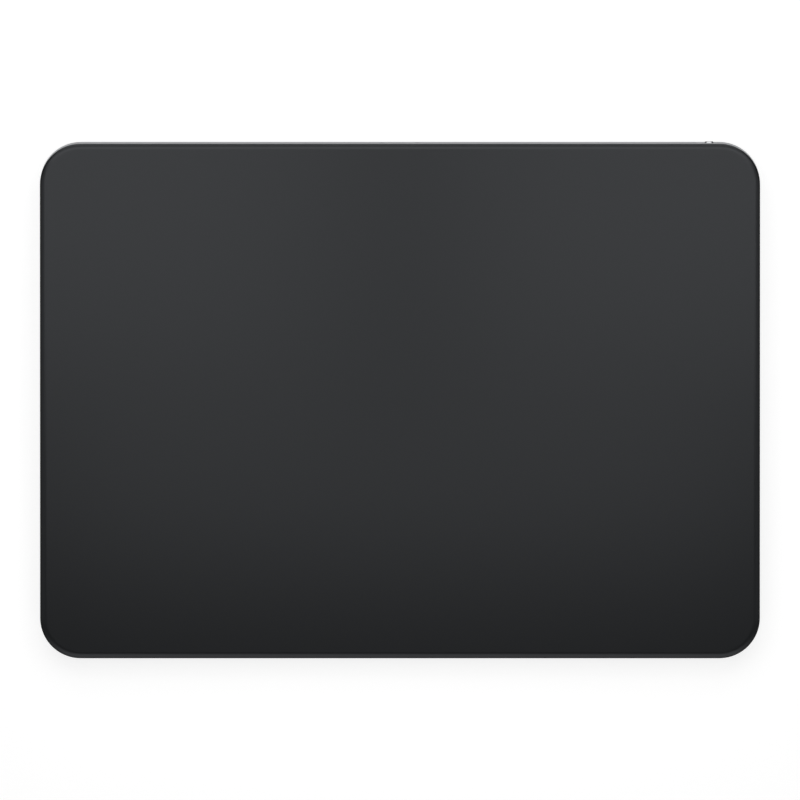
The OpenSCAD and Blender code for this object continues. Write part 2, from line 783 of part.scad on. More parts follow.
// Sheet that passes under the shell and is screwed up through the board on both sides
module socket_saddle() {
    leg_x = socket_w / 2 + saddle_gap + saddle_t / 2;
    color("#9b9da0") deck() difference() {
        union() {
            hang(2 * leg_x + saddle_t, saddle_d, saddle_t, 0, saddle_v, board_under - socket_h);
            for (side = [-1, 1]) {
                hang(saddle_t, saddle_d, socket_h + saddle_t, side * leg_x, saddle_v, board_under);
                hang(saddle_ear + saddle_t, saddle_d, saddle_t, side * (leg_x + saddle_ear / 2), saddle_v,
                    board_under);
            }
        }
        deck_holes(saddle_screw_spots, board_under - saddle_t, board_under + cut);
    }
}

module saddle_screws() {
    color("#6d6f72")
        deck_screws(saddle_screw_spots, board_under - saddle_t, saddle_t + board_t + screw_grip);
}

// Block in the slot with its nub, a flange behind the wall and a tail that reaches the stem
module power_slider() {
    slider_face = pad_d / 2 - slider_recess;
    flange_top = slot_level + slot_h / 2 + flange_lap;
    flange_h = flange_top - tail_top + tail_t;
    tail_front = stem_v - stem_w / 2;
    tail_len = flange_v + flange_t - tail_front;
    color("#b4b5b7") deck() {
        rear_bar(slider_x, slot_level, flange_v, slider_face)
            rounded_rect(slider_w, slot_h - 2 * slider_gap, slot_r - slider_gap);
        intersection() {
            rear_bar(slider_x, slot_level, flange_v, pad_d / 2 + nub_rise)
                bevelled_rect(nub_w, nub_h, nub_bevel_w, nub_bevel_h);
            translate([slider_x, pad_d / 2 + nub_rise - nub_crown_r, slot_level])
                cylinder(r = nub_crown_r, h = slot_h, center = true);
        }
        hang(slider_w, flange_t, flange_h, slider_x, flange_v + flange_t / 2, flange_top);
        hang(slider_w, tail_len, tail_t, slider_x, tail_front + tail_len / 2, tail_top);
    }
}

module switch_stem() {
    stem_top = switch_under + stem_depth - stem_gap;
    color("#2a2b2d") deck() hang(stem_w, stem_w, stem_top - tail_top, slider_x, stem_v, stem_top);
}

module switch_body() {
    color("#3a3b3e") deck() difference() {
        hang(switch_w, switch_d, switch_h, slot_x, switch_v, board_under);
        hang(slider_travel + stem_w + 2 * stem_gap, stem_w + 2 * stem_gap, stem_depth + cut, slot_x, stem_v,
            switch_under + stem_depth);
    }
}

module switch_backing() {
    color("#26272a") deck()
        hang(switch_w, backing_t, switch_h, slot_x, backing_v + backing_t / 2, board_under);
}

// Green film that the slider uncovers when it is moved to the left
module switch_on_mark() {
    mark_w = slot_len / 2;
    color("#35b34a") deck()
        hang(mark_w, mark_t, slot_h, slot_x + mark_w / 2, backing_v + backing_t + mark_t / 2,
            slot_level + slot_h / 2);
}

module switch_board() {
    color("#16382a") deck() difference() {
        hang(switch_board_left + switch_board_right, switch_board_d, board_t,
            slot_x + (switch_board_right - switch_board_left) / 2, switch_board_v, board_top);
        deck_holes(switch_screw_spots, board_under, board_top + cut);
    }
}

module switch_screws() {
    color("#6d6f72") deck_screws(switch_screw_spots, board_under, board_t + screw_grip);
}

module battery_cell() {
    color("#3b3f45") deck() translate([0, battery_v, battery_top - battery_t / 2])
        rotate([90, 0, 90]) linear_extrude(battery_w, center = true)
            rounded_rect(battery_d, battery_t, battery_edge_r);
}

module battery_tape() {
    color("#d8d4c8") deck() for (side = [-1, 1])
        hang(battery_tape_w, battery_d - 4 * battery_edge_r, battery_tape_t, side * battery_w / 4, battery_v,
            ceiling);
}

module battery_protection_board() {
    color("#16382a") deck()
        hang(protection_w, protection_d, protection_t, 0, battery_rear + protection_d / 2, protection_top);
}

// Ribbon from under the protection board to the main board, with a step between their levels
module battery_lead() {
    lead_front = battery_rear + protection_d / 2;
    lead_step = battery_rear + protection_d + protection_gap / 2;
    lead_end = board_v - board_d / 2 + ribbon_end;
    front_d = lead_step - lead_front;
    rear_d = lead_end - lead_step;
    low = min(protection_under, board_under);
    high = max(protection_under, board_under);
    color("#c08a3e") deck() {
        hang(lead_w, front_d, ribbon_t, lead_x, lead_step - front_d / 2, protection_under);
        hang(lead_w, ribbon_t, high - low + ribbon_t, lead_x, lead_step, high);
        hang(lead_w, rear_d, ribbon_t, lead_x, lead_step + rear_d / 2, board_under);
    }
}

// Plate under the web with screw ears, and posts that clamp the ends of the leaf springs
module haptic_frame() {
    color("#8f9194") deck() difference() {
        union() {
            hang(haptic_w, haptic_d, haptic_plate_t, 0, haptic_v, ceiling);
            for (spot = haptic_screw_spots) hang(ear_len, ear_d, haptic_plate_t, spot.x, spot.y, ceiling);
            for (side = [-1, 1], end = [-1, 1])
                hang(post_w, post_d, ceiling - yoke_under, side * leaf_x,
                    haptic_v + end * (haptic_d - post_d) / 2, ceiling);
        }
        deck_holes(haptic_screw_spots, haptic_under, ceiling + cut);
    }
}

module haptic_coils() {
    color("#b4703a") deck() for (side = [-1, 1])
        translate([side * coil_pitch / 2, haptic_v, coil_under]) linear_extrude(coil_h) difference() {
            rounded_rect(coil_w, coil_d, coil_r);
            square([coil_w - 2 * coil_band, coil_d - 2 * coil_band], center = true);
        }
}

module haptic_magnets() {
    color("#9ea0a3") deck() for (side = [-1, 1], pole = [-1, 1]) {
        magnet_x = side * coil_pitch / 2 + pole * magnet_pitch / 2;
        hang(magnet_w, magnet_d, magnet_t, magnet_x, haptic_v, magnet_top);
    }
}

// Steel plate under the magnets, with weight rails and pads that meet the leaf springs
module haptic_yoke() {
    tie_w = leaf_x - leaf_t / 2 - yoke_w / 2;
    color("#6f7174") deck() {
        hang(yoke_w, yoke_d, yoke_t, 0, haptic_v, yoke_top);
        for (end = [-1, 1])
            hang(yoke_w, rail_w, magnet_t + yoke_t, 0, haptic_v + end * (yoke_d - rail_w) / 2, magnet_top);
        for (side = [-1, 1])
            hang(tie_w + cut, tie_d, magnet_t + yoke_t, side * (yoke_w / 2 + (tie_w - cut) / 2), haptic_v,
                magnet_top);
    }
}

module haptic_springs() {
    color("#c2c3c5") deck() for (side = [-1, 1])
        hang(leaf_t, leaf_len, leaf_h, side * leaf_x, haptic_v, yoke_under + leaf_h);
}

module haptic_screws() {
    color("#6d6f72") deck_screws(haptic_screw_spots, haptic_under, haptic_plate_t + web_screw_grip);
}

// Ribbon from the actuator's frame, along the web and onto the top of the main board
module haptic_lead() {
    run_end = board_v - board_d / 2 + ribbon_end;
    run_d = run_end - haptic_v;
    start_w = haptic_ribbon_x + haptic_ribbon_w / 2 - haptic_w / 2;
    color("#c08a3e") deck() {
        hang(start_w, haptic_ribbon_w, ribbon_t, haptic_w / 2 + start_w / 2, haptic_v, ceiling);
        hang(haptic_ribbon_w, run_d, ribbon_t, haptic_ribbon_x, haptic_v + run_d / 2, ceiling);
        hang(haptic_ribbon_w, ribbon_end, board_lift, haptic_ribbon_x, run_end - ribbon_end / 2, ceiling);
    }
}

// Ribbon that drops from the sensor board through the web and runs to its connector
module sensor_ribbon() {
    run_end = -board_w / 2 + ribbon_end;
    run_w = run_end + sensor_ribbon_x;
    drop = web_level - board_under + ribbon_t;
    color("#c08a3e") deck() {
        hang(ribbon_t, sensor_ribbon_w, drop, -sensor_ribbon_x, board_v, web_level);
        hang(run_w, sensor_ribbon_w, ribbon_t, run_end - run_w / 2, board_v, board_under);
    }
}

// Ribbon along the web that drops to both flexure roots of one side and ends on the main board
module force_ribbon(side) {
    front_v = deck_v(-foot_y, ceiling);
    rear_v = switch_board_v + ribbon_end / 2;
    run_d = rear_v - front_v;
    end_x = board_w / 2 - ribbon_end;
    end_w = force_x - end_x;
    color("#c08a3e") {
        deck() {
            hang(force_ribbon_w, run_d, ribbon_t, side * force_x, front_v + run_d / 2, ceiling);
            hang(end_w, ribbon_end, ribbon_t, side * (end_x + end_w / 2), switch_board_v, ceiling);
            hang(ribbon_end, ribbon_end, board_lift, side * (end_x + ribbon_end / 2), switch_board_v,
                ceiling);
        }
        for (end = [-1, 1]) {
            drop = deck_height(end * foot_y, ceiling - ribbon_t / 2) - flexure_top;
            translate([side * force_x, end * foot_y, flexure_top + drop / 2])
                cube([force_ribbon_w, ribbon_t, drop], center = true);
        }
    }
}

module switch_ribbon() {
    run_start = board_w / 2 - ribbon_end;
    run_end = slot_x - switch_screw_pitch / 2 - screw_head_r - ribbon_end / 2;
    color("#c08a3e") deck()
        hang(run_end - run_start, switch_ribbon_w, ribbon_t, (run_end + run_start) / 2, switch_board_v,
            board_under);
}

module radio_antenna() {
    color("#b88a4a") translate([pin_x, deck_y + board_v, cover_top + antenna_t / 2])
        cube([antenna_w, antenna_d, antenna_t], center = true);
}

// Spring pins from the main board down to the antenna, cut off level on it
module antenna_pins() {
    color("#c9a24a") difference() {
        deck() for (side = [-1, 1])
            translate([pin_x + side * pin_pitch / 2, board_v, board_under - through])
                cylinder(r = pin_r, h = through);
        translate([-pad_w, -pad_d, cover_top + antenna_t - 2 * through])
            cube([2 * pad_w, 2 * pad_d, 2 * through]);
    }
}

glass_top();
bond_sheet();
bond_frame();
touch_sensor_board();
housing();
bottom_cover();
cover_tape();
foot_pad(-1, -1);  // foot_pad_front_left
foot_pad(1, -1);  // foot_pad_front_right
foot_pad(-1, 1);  // foot_pad_rear_left
foot_pad(1, 1);  // foot_pad_rear_right
foot_carrier(-1, -1);  // foot_carrier_front_left
foot_carrier(1, -1);  // foot_carrier_front_right
foot_carrier(-1, 1);  // foot_carrier_rear_left
foot_carrier(1, 1);  // foot_carrier_rear_right
flexure(-1, -1);  // flexure_front_left
flexure(1, -1);  // flexure_front_right
flexure(-1, 1);  // flexure_rear_left
flexure(1, 1);  // flexure_rear_right
strain_gauges();
flexure_screws();
main_board();
board_screws();
board_chips();
shield_can();
board_connectors();
charge_socket_shell();
charge_socket_tongue();
charge_socket_contacts();
socket_saddle();
saddle_screws();
power_slider();
switch_stem();
switch_body();
switch_backing();
switch_on_mark();
switch_board();
switch_screws();
battery_cell();
battery_tape();
battery_protection_board();
battery_lead();
haptic_frame();
haptic_coils();
haptic_magnets();
haptic_yoke();
haptic_springs();
haptic_screws();
haptic_lead();
sensor_ribbon();
force_ribbon(-1);  // force_ribbon_left
force_ribbon(1);  // force_ribbon_right
switch_ribbon();
radio_antenna();
antenna_pins();
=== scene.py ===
# Wireless trackpad: a low wedge of aluminium under a dark satin glass top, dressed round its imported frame.
import math

import bmesh
import bpy
from mathutils import Matrix, Vector


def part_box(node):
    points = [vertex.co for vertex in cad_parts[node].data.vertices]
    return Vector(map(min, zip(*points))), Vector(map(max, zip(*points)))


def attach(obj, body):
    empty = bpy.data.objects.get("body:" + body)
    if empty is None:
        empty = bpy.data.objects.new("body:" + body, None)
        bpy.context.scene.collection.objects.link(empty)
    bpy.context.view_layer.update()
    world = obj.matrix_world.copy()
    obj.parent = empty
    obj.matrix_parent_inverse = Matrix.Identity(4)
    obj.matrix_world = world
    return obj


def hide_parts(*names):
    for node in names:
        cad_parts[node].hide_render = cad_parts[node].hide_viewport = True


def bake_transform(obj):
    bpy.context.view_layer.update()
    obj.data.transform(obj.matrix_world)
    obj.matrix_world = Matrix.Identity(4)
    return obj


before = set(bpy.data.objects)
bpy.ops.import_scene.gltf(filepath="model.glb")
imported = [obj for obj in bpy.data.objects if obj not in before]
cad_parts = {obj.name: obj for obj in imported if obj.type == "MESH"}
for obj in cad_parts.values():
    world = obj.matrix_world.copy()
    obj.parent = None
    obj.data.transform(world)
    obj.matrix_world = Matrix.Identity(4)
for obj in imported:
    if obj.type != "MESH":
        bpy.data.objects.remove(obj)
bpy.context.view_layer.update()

bpy.context.scene.view_settings.view_transform = "Standard"

# Housing
# One block of aluminium, milled out to thin walls, a web under the touch sensor and bosses for the screws.
# It is bead-blasted and clear anodised. Its top edge is broken finely and its foot is rounded all round.
MM = 0.001
pad_w = 160 * MM
pad_d = 114.5 * MM
front_h = 4.9 * MM
rear_h = 10.9 * MM
corner_r = 9 * MM
corner_steps = 20
glass_t = 1 * MM
glass_edge_drop = 0.5 * MM
bond_t = 0.1 * MM
sensor_t = 0.6 * MM
web_t = 0.7 * MM
wall_t = 1.8 * MM
rim_w = 2.2 * MM
rim_break = 0.12 * MM
foot_stand = 0.7 * MM
cover_t = 0.9 * MM
tape_t = 0.1 * MM
cover_border = 1 * MM
base_round = 0.5 * MM
base_steps = 5

# The glass slopes, so a piece that is square to it is shaped flat, with the glass at level zero, and is then
# set on the deck
tilt = math.asin((rear_h - front_h) / pad_d)
deck_z = (front_h + rear_h) / 2
deck_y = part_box("glass_top")[0].y + pad_d / 2 * math.cos(tilt) - glass_edge_drop * math.sin(tilt)
DECK = Matrix.Translation((0, deck_y, deck_z)) @ Matrix.Rotation(tilt, 4, "X")
rim_level = -glass_t - bond_t
web_level = rim_level - sensor_t
ceiling = web_level - web_t
below = -2 * rear_h
base_d = pad_d / math.cos(tilt)
base_y = deck_y + (deck_z - foot_stand) * math.tan(tilt)
cover_top = foot_stand + cover_t
ledge_z = cover_top + tape_t

# Points within this distance count as being in one place
near = 0.002 * MM
X, Y, Z = range(3)


def only(piece):
    """Makes the piece the one that operators act on."""
    bpy.ops.object.select_all(action="DESELECT")
    piece.select_set(True)
    bpy.context.view_layer.objects.active = piece


def start_block(name, size, middle):
    """A box of that size about a point."""
    bpy.ops.object.select_all(action="DESELECT")
    bpy.ops.mesh.primitive_cube_add(size=1, location=middle, scale=size)
    bpy.ops.object.transform_apply(location=True, rotation=True, scale=True)
    bpy.context.object.name = name
    return bpy.context.object


def edit(piece, kind, test):
    """Enters edit mode with only those faces or edges of the piece selected that pass the test."""
    only(piece)
    bpy.ops.object.mode_set(mode="EDIT")
    bpy.ops.mesh.select_mode(type=kind)
    bpy.ops.mesh.select_all(action="DESELECT")
    mesh = bmesh.from_edit_mesh(piece.data)
    for item in mesh.faces if kind == "FACE" else mesh.edges:
        if test(item):
            item.select_set(True)
    bmesh.update_edit_mesh(piece.data)


def edit_all(piece):
    edit(piece, "FACE", lambda face: True)


def leave_edit():
    bpy.ops.object.mode_set(mode="OBJECT")


def runs_along(edge, axis):
    span = edge.verts[1].co - edge.verts[0].co
    return all(abs(span[i]) < near for i in range(3) if i != axis)


def stands(edge):
    return runs_along(edge, Z)


def lies_at(item, axis, value):
    return all(abs(vert.co[axis] - value) < near for vert in item.verts)


def round_edges(piece, radius, test, steps=2):
    """Rounds the edges of the piece that pass the test."""
    edit(piece, "EDGE", test)
    bpy.ops.mesh.bevel(offset=radius, segments=steps, affect="EDGES")
    leave_edit()


def slice_piece(piece, place, way, clear=False):
    """Slices the piece along a plane. Where asked, the part beyond is cleared away and the cut is filled."""
    edit_all(piece)
    bpy.ops.mesh.bisect(plane_co=place, plane_no=way, use_fill=clear, clear_outer=clear, threshold=near)
    leave_edit()


def start_plate(name, inset, bottom, top, depth=pad_d, y=0.0):
    """A plate between two levels, with the outline of the pad set in by that much."""
    size = (pad_w - 2 * inset, depth - 2 * inset, top - bottom)
    plate = start_block(name, size, (0, y, (top + bottom) / 2))
    round_edges(plate, corner_r - inset, stands, corner_steps)
    return plate


def set_on_deck(piece):
    only(piece)
    piece.rotation_euler.x = tilt
    piece.location = (0, deck_y, deck_z)
    bpy.ops.object.transform_apply(location=True, rotation=True, scale=True)
    return piece


def combine(piece, tool, operation):
    """Cuts the tool out of the piece, or adds it to the piece, and uses the tool up."""
    only(piece)
    modifier = piece.modifiers.new("combine", "BOOLEAN")
    modifier.operation = operation
    modifier.solver = "EXACT"
    modifier.object = tool
    bpy.ops.object.modifier_apply(modifier=modifier.name)
    bpy.data.objects.remove(tool)


def smooth(piece, angle=30):
    """Shades the curves smooth and keeps the flats flat."""
    only(piece)
    bpy.ops.object.shade_smooth_by_angle(angle=math.radians(angle))
    modifier = piece.modifiers.new("flats", "WEIGHTED_NORMAL")
    modifier.keep_sharp = True
    bpy.ops.object.modifier_apply(modifier=modifier.name)
    return piece


housing = start_plate("housing_shell", 0, below, rim_level)
round_edges(housing, rim_break, lambda edge: lies_at(edge, Z, rim_level))
set_on_deck(housing)
slice_piece(housing, (0, 0, foot_stand), (0, 0, -1), clear=True)
round_edges(housing, base_round, lambda edge: lies_at(edge, Z, foot_stand), base_steps)
cavity = start_plate("cavity", wall_t, below, ceiling)
combine(housing, set_on_deck(cavity), "DIFFERENCE")
pocket = start_plate("pocket", rim_w, web_level, rear_h)
combine(housing, set_on_deck(pocket), "DIFFERENCE")
recess = start_plate("recess", cover_border, 0, ledge_z, base_d, base_y)
combine(housing, recess, "DIFFERENCE")

# Bosses hang from the web for the boards and for the roots of the force sensors, each drilled for a screw.
# The web itself is drilled for the haptic actuator and slotted for the touch sensor's ribbon.
board_t = 0.8 * MM
board_lift = 0.4 * MM
board_top = ceiling - board_lift
board_under = board_top - board_t
board_v = 50 * MM
board_screw_x = 28 * MM
saddle_v = 52 * MM
saddle_screw_x = 7.57 * MM
slot_inset = 12.4 * MM
slot_x = pad_w / 2 - slot_inset
switch_screw_pitch = 12 * MM
haptic_v = -8.9 * MM
haptic_screw_x = 32 * MM
haptic_screw_pitch = 22 * MM
foot_inset_x = 13 * MM
foot_inset_y = 16.5 * MM
foot_x = pad_w / 2 - foot_inset_x
foot_y = pad_d / 2 - foot_inset_y
flexure_reach = 15 * MM
flexure_screw_pitch = 5.2 * MM
flexure_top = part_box("flexure_front_left")[1].z
boss_r = 1.6 * MM
screw_hole_r = 0.6 * MM
screw_hole_depth = 0.9 * MM
web_hole_depth = 0.5 * MM
web_middle = ceiling + web_t / 2
ribbon_slot_size = (1.35 * MM, 8.2 * MM, 2 * MM)
ribbon_slot_inset = 23 * MM
both = (-1, 1)
board_spots = [
    (x + side * reach, v)
    for x, reach, v in (
        (0, board_screw_x, board_v),
        (0, saddle_screw_x, saddle_v),
        (slot_x, switch_screw_pitch / 2, saddle_v),
    )
    for side in both
]
haptic_spots = [
    (side * haptic_screw_x, haptic_v + end * haptic_screw_pitch / 2) for side in both for end in both
]
root_spots = [
    (side * (foot_x - flexure_reach), row * foot_y + end * flexure_screw_pitch / 2)
    for side in both
    for row in both
    for end in both
]


def start_disc(name, radius, bottom, top, sides=48, x=0.0, y=0.0):
    """An upright cylinder between two heights."""
    bpy.ops.object.select_all(action="DESELECT")
    bpy.ops.mesh.primitive_cylinder_add(
        vertices=sides, radius=radius, depth=top - bottom, location=(x, y, (bottom + top) / 2)
    )
    bpy.ops.object.transform_apply(location=True, rotation=True, scale=True)
    bpy.context.object.name = name
    return bpy.context.object


def copy_piece(piece, name, move=(0, 0, 0)):
    """A copy of the piece with its own mesh, moved by that much."""
    copy = piece.copy()
    copy.data = piece.data.copy()
    copy.data.transform(Matrix.Translation(move))
    copy.name = name
    bpy.context.scene.collection.objects.link(copy)
    return copy


def spread(piece, name, spots):
    """Repeats the piece at each spot as one mesh, and uses the piece up."""
    copies = [copy_piece(piece, name, (x, y, 0)) for x, y in spots]
    bpy.data.objects.remove(piece)
    only(copies[0])
    for copy in copies:
        copy.select_set(True)
    bpy.ops.object.join()
    return copies[0]


bosses = spread(start_disc("boss", boss_r, flexure_top, rear_h), "root_bosses", root_spots)
slice_piece(bosses, DECK @ Vector((0, 0, web_middle)), DECK.to_3x3() @ Vector((0, 0, 1)), clear=True)
combine(housing, bosses, "UNION")
bosses = spread(start_disc("boss", boss_r, board_top, web_middle), "board_bosses", board_spots)
combine(housing, set_on_deck(bosses), "UNION")
drill = start_disc("drill", screw_hole_r, 0, flexure_top + screw_hole_depth)
combine(housing, spread(drill, "root_drills", root_spots), "DIFFERENCE")
drill = start_disc("drill", screw_hole_r, board_top - web_t, board_top + screw_hole_depth)
combine(housing, set_on_deck(spread(drill, "board_drills", board_spots)), "DIFFERENCE")
drill = start_disc("drill", screw_hole_r, board_top - web_t, ceiling + web_hole_depth)
combine(housing, set_on_deck(spread(drill, "web_drills", haptic_spots)), "DIFFERENCE")
ribbon_slot = start_block("ribbon_slot", ribbon_slot_size, (ribbon_slot_inset - pad_w / 2, board_v, ceiling))
combine(housing, set_on_deck(ribbon_slot), "DIFFERENCE")

# The rear wall is pierced for the charging socket and for the power switch, with finely broken edges
socket_w = 8.94 * MM
socket_h = 3.2 * MM
socket_gap = 0.15 * MM
socket_level = board_under - socket_h / 2
slot_len = 4.9 * MM
slot_h = 2.4 * MM
slot_r = 1.1 * MM
bar_steps = 12
hole_break = 0.12 * MM
wall_v = pad_d / 2 - wall_t
hole_w = socket_w + 2 * socket_gap
hole_h = socket_h + 2 * socket_gap
hole_start = wall_v - wall_t
hole_end = pad_d / 2 + wall_t
# Points closer than this make slivers, which are merged
sliver = 4 * near


def start_bar(name, w, h, r, start, end, x=0.0):
    """A bar with round edges at the level of the charging socket, which runs towards the rear wall."""
    bar = start_block(name, (w, end - start, h), (x, (start + end) / 2, socket_level))
    round_edges(bar, r, lambda edge: runs_along(edge, Y), bar_steps)
    edit_all(bar)
    bpy.ops.mesh.remove_doubles(threshold=sliver)
    leave_edit()
    return bar


def rims_hole(edge, x, half_w):
    """Whether the edge lies on the rear face, round a hole of that half width about x."""
    spots = [DECK.inverted() @ vert.co for vert in edge.verts]
    on_face = all(abs(spot.y - pad_d / 2) < near for spot in spots)
    beside = all(abs(spot.x - x) < half_w + near for spot in spots)
    return on_face and beside and all(abs(spot.z - socket_level) < hole_h for spot in spots)


socket_hole = start_bar("socket_hole", hole_w, hole_h, hole_h / 2 - near, hole_start, hole_end)
combine(housing, set_on_deck(socket_hole), "DIFFERENCE")
slot = start_bar("slot", slot_len, slot_h, slot_r, hole_start, hole_end, slot_x)
combine(housing, set_on_deck(slot), "DIFFERENCE")
round_edges(housing, hole_break, lambda edge: rims_hole(edge, 0, hole_w / 2))
round_edges(housing, hole_break, lambda edge: rims_hole(edge, slot_x, slot_len / 2))


def hex_colour(code):
    """The linear colour of an sRGB hex code, as a shader takes it."""
    parts = [int(code[i : i + 2], 16) / 255 for i in (1, 3, 5)]
    linear = [p / 12.92 if p <= 0.04045 else ((p + 0.055) / 1.055) ** 2.4 for p in parts]
    return (*linear, 1)


def add_node(tree, kind, sockets=None, **settings):
    """A node with its settings, whose sockets take a value or the output of another node."""
    node = tree.nodes.new(kind)
    for name, value in settings.items():
        setattr(node, name, value)
    for name, value in (sockets or {}).items():
        if isinstance(value, bpy.types.NodeSocket):
            tree.links.new(value, node.inputs[name])
        else:
            node.inputs[name].default_value = value
    return node


def start_finish(name):
    """A material that has no nodes yet."""
    material = bpy.data.materials.new(name)
    material.use_nodes = True
    material.node_tree.nodes.clear()
    return material


def follow_pattern(tree, pattern, colours, stops, rough, depth, metallic=0.0, tint="#ffffff"):
    """Lets colour, roughness and relief follow one pattern.

    The colour changes between the two stops of the pattern. The tint colours a glaze's reflection, or a
    metal's at a glancing angle.
    """
    tone = add_node(tree, "ShaderNodeValToRGB", {"Fac": pattern})
    for element, stop, colour in zip(tone.color_ramp.elements, stops, colours):
        element.position = stop
        element.color = hex_colour(colour)
    gloss = add_node(
        tree, "ShaderNodeMapRange", {"Value": pattern, "To Min": rough[0], "To Max": rough[1]}
    )
    relief = add_node(tree, "ShaderNodeBump", {"Height": pattern, "Distance": depth})
    shader = add_node(
        tree,
        "ShaderNodeBsdfPrincipled",
        {
            "Base Color": tone.outputs["Color"],
            "Metallic": metallic,
            "Specular Tint": hex_colour(tint),
            "Roughness": gloss.outputs["Result"],
            "Normal": relief.outputs["Normal"],
        },
    )
    add_node(tree, "ShaderNodeOutputMaterial", {"Surface": shader.outputs["BSDF"]})


def grained_finish(name, colours, grain, rough, depth, metallic=0.0, stretch=(1, 1, 1), tint="#ffffff"):
    """A finish with one fine grain of that real size, drawn out along an axis where a stretch is given."""
    material = start_finish(name)
    tree = material.node_tree
    place = add_node(tree, "ShaderNodeTexCoord").outputs["Object"]
    drawn = add_node(tree, "ShaderNodeMapping", {"Vector": place, "Scale": stretch}).outputs["Vector"]
    noise = add_node(tree, "ShaderNodeTexNoise", {"Vector": drawn, "Scale": 1 / grain, "Detail": 3})
    follow_pattern(tree, noise.outputs["Fac"], colours, (0.3, 0.7), rough, depth, metallic, tint)
    return material


def give_finish(piece, material, node):
    """Gives a piece its material and hides the CAD node that it stands for."""
    piece.data.materials.clear()
    piece.data.materials.append(material)
    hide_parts(node)


def put(piece, material, body, node):
    """Finishes a piece that moves with one body."""
    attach(piece, body)
    give_finish(piece, material, node)


# Bead-blasted aluminium, clear anodised: a matt pale grey with a soft sheen, duller at a glancing angle
# because of the blasted pits. The blast's grit of under 0.1 mm is too fine to show, so it is drawn at
# 0.3 mm.
blasted_aluminium = grained_finish(
    "Anodised aluminium",
    ("#adaeb0", "#b6b7b9"),
    0.3 * MM,
    (0.38, 0.46),
    0.004 * MM,
    metallic=1.0,
    tint="#b6b7b9",
)
put(smooth(housing), blasted_aluminium, "chassis", "housing")

# Touch sensor
# A thin circuit board of copper rows and columns, glued under the glass with a clear sheet.
# A black adhesive frame on the housing's rim holds the glass round its edge.
def tracked_finish(name, colours, pitch, rough, depth, across="X", patch=0.0):
    """A film or mask over copper tracks of that real pitch.

    The tracks turn a quarter from patch to patch where a patch size is given.
    """
    material = start_finish(name)
    tree = material.node_tree
    place = add_node(tree, "ShaderNodeTexCoord").outputs["Object"]
    # A wave texture of scale 1 repeats every tenth of pi
    wave = {"Vector": place, "Scale": math.pi / (10 * pitch)}
    bands = {
        way: add_node(tree, "ShaderNodeTexWave", wave, bands_direction=way).outputs["Fac"] for way in "XY"
    }
    tracks = bands[across]
    if patch:
        cells = add_node(
            tree, "ShaderNodeTexVoronoi", {"Vector": place, "Scale": 1 / patch}, distance="CHEBYCHEV"
        )
        turned = add_node(
            tree, "ShaderNodeMath", {0: cells.outputs["Color"], 1: 0.5}, operation="GREATER_THAN"
        )
        tracks = add_node(
            tree, "ShaderNodeMix", {"Factor": turned.outputs[0], "A": bands["X"], "B": bands["Y"]}
        ).outputs["Result"]
    follow_pattern(tree, tracks, colours, (0.45, 0.6), rough, depth)
    return material


def dress(material, *names):
    """Gives the material to CAD nodes whose shape is kept."""
    for name in names:
        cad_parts[name].data.materials.clear()
        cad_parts[name].data.materials.append(material)


# Green solder mask: a glossy dark green, lighter and a little raised where copper tracks run under it.
# Real tracks of 0.1 mm are too fine to show, so they are drawn 0.5 mm apart.
solder_mask = tracked_finish(
    "Solder mask over copper", ("#123526", "#1d573d"), 0.5 * MM, (0.42, 0.3), 0.02 * MM, patch=5 * MM
)
# Black adhesive film, dull and faintly mottled
adhesive_film = grained_finish(
    "Black adhesive film", ("#1b1b1c", "#232324"), 0.5 * MM, (0.5, 0.65), 0.005 * MM
)
# Clear adhesive film, a pale grey and half glossy, with slow ripples
clear_adhesive = grained_finish(
    "Clear adhesive film", ("#8a8f93", "#969b9f"), 2 * MM, (0.2, 0.3), 0.004 * MM
)
dress(solder_mask, "touch_sensor_board")
dress(adhesive_film, "bond_frame")
dress(clear_adhesive, "bond_sheet")

# Glass top
# One sheet of glass, printed black on its back and finely etched on its face, so a finger slides on it.
# Its edge is ground to a soft curve that falls away to the housing, and its lower edge is broken.
glass_edge_w = 1.5 * MM
glass_edge_steps = 12
glass_break = 0.12 * MM
glass_smooth_angle = 40
glass = start_plate("glass_sheet", 0, -glass_t, -glass_edge_drop)
# The curve turns by the same angle at each inset, and its last two steps are one
glass_edge_r = (glass_edge_w**2 + glass_edge_drop**2) / (2 * glass_edge_drop)
edge_angle = math.asin(glass_edge_w / glass_edge_r)
angles = [edge_angle * (1 - step / glass_edge_steps) for step in range(glass_edge_steps - 1)] + [0]
edit(glass, "FACE", lambda face: lies_at(face, Z, -glass_edge_drop))
for low, high in zip(angles, angles[1:]):
    bpy.ops.mesh.inset(
        thickness=glass_edge_r * (math.sin(low) - math.sin(high)),
        depth=glass_edge_r * (math.cos(high) - math.cos(low)),
    )
leave_edit()
round_edges(glass, glass_break, lambda edge: lies_at(edge, Z, -glass_t))
set_on_deck(glass)

# Satin black glass: near black, with one broad, faintly blue reflection and no sharp image. The etch is far
# finer than a pixel, so most of it is left to the roughness, with a faint relief drawn at 0.4 mm.
satin_glass = grained_finish(
    "Etched black glass", ("#111213", "#131415"), 0.4 * MM, (0.29, 0.31), 0.0003 * MM, tint="#f5f9ff"
)
put(smooth(glass, glass_smooth_angle), satin_glass, "chassis", "glass_top")

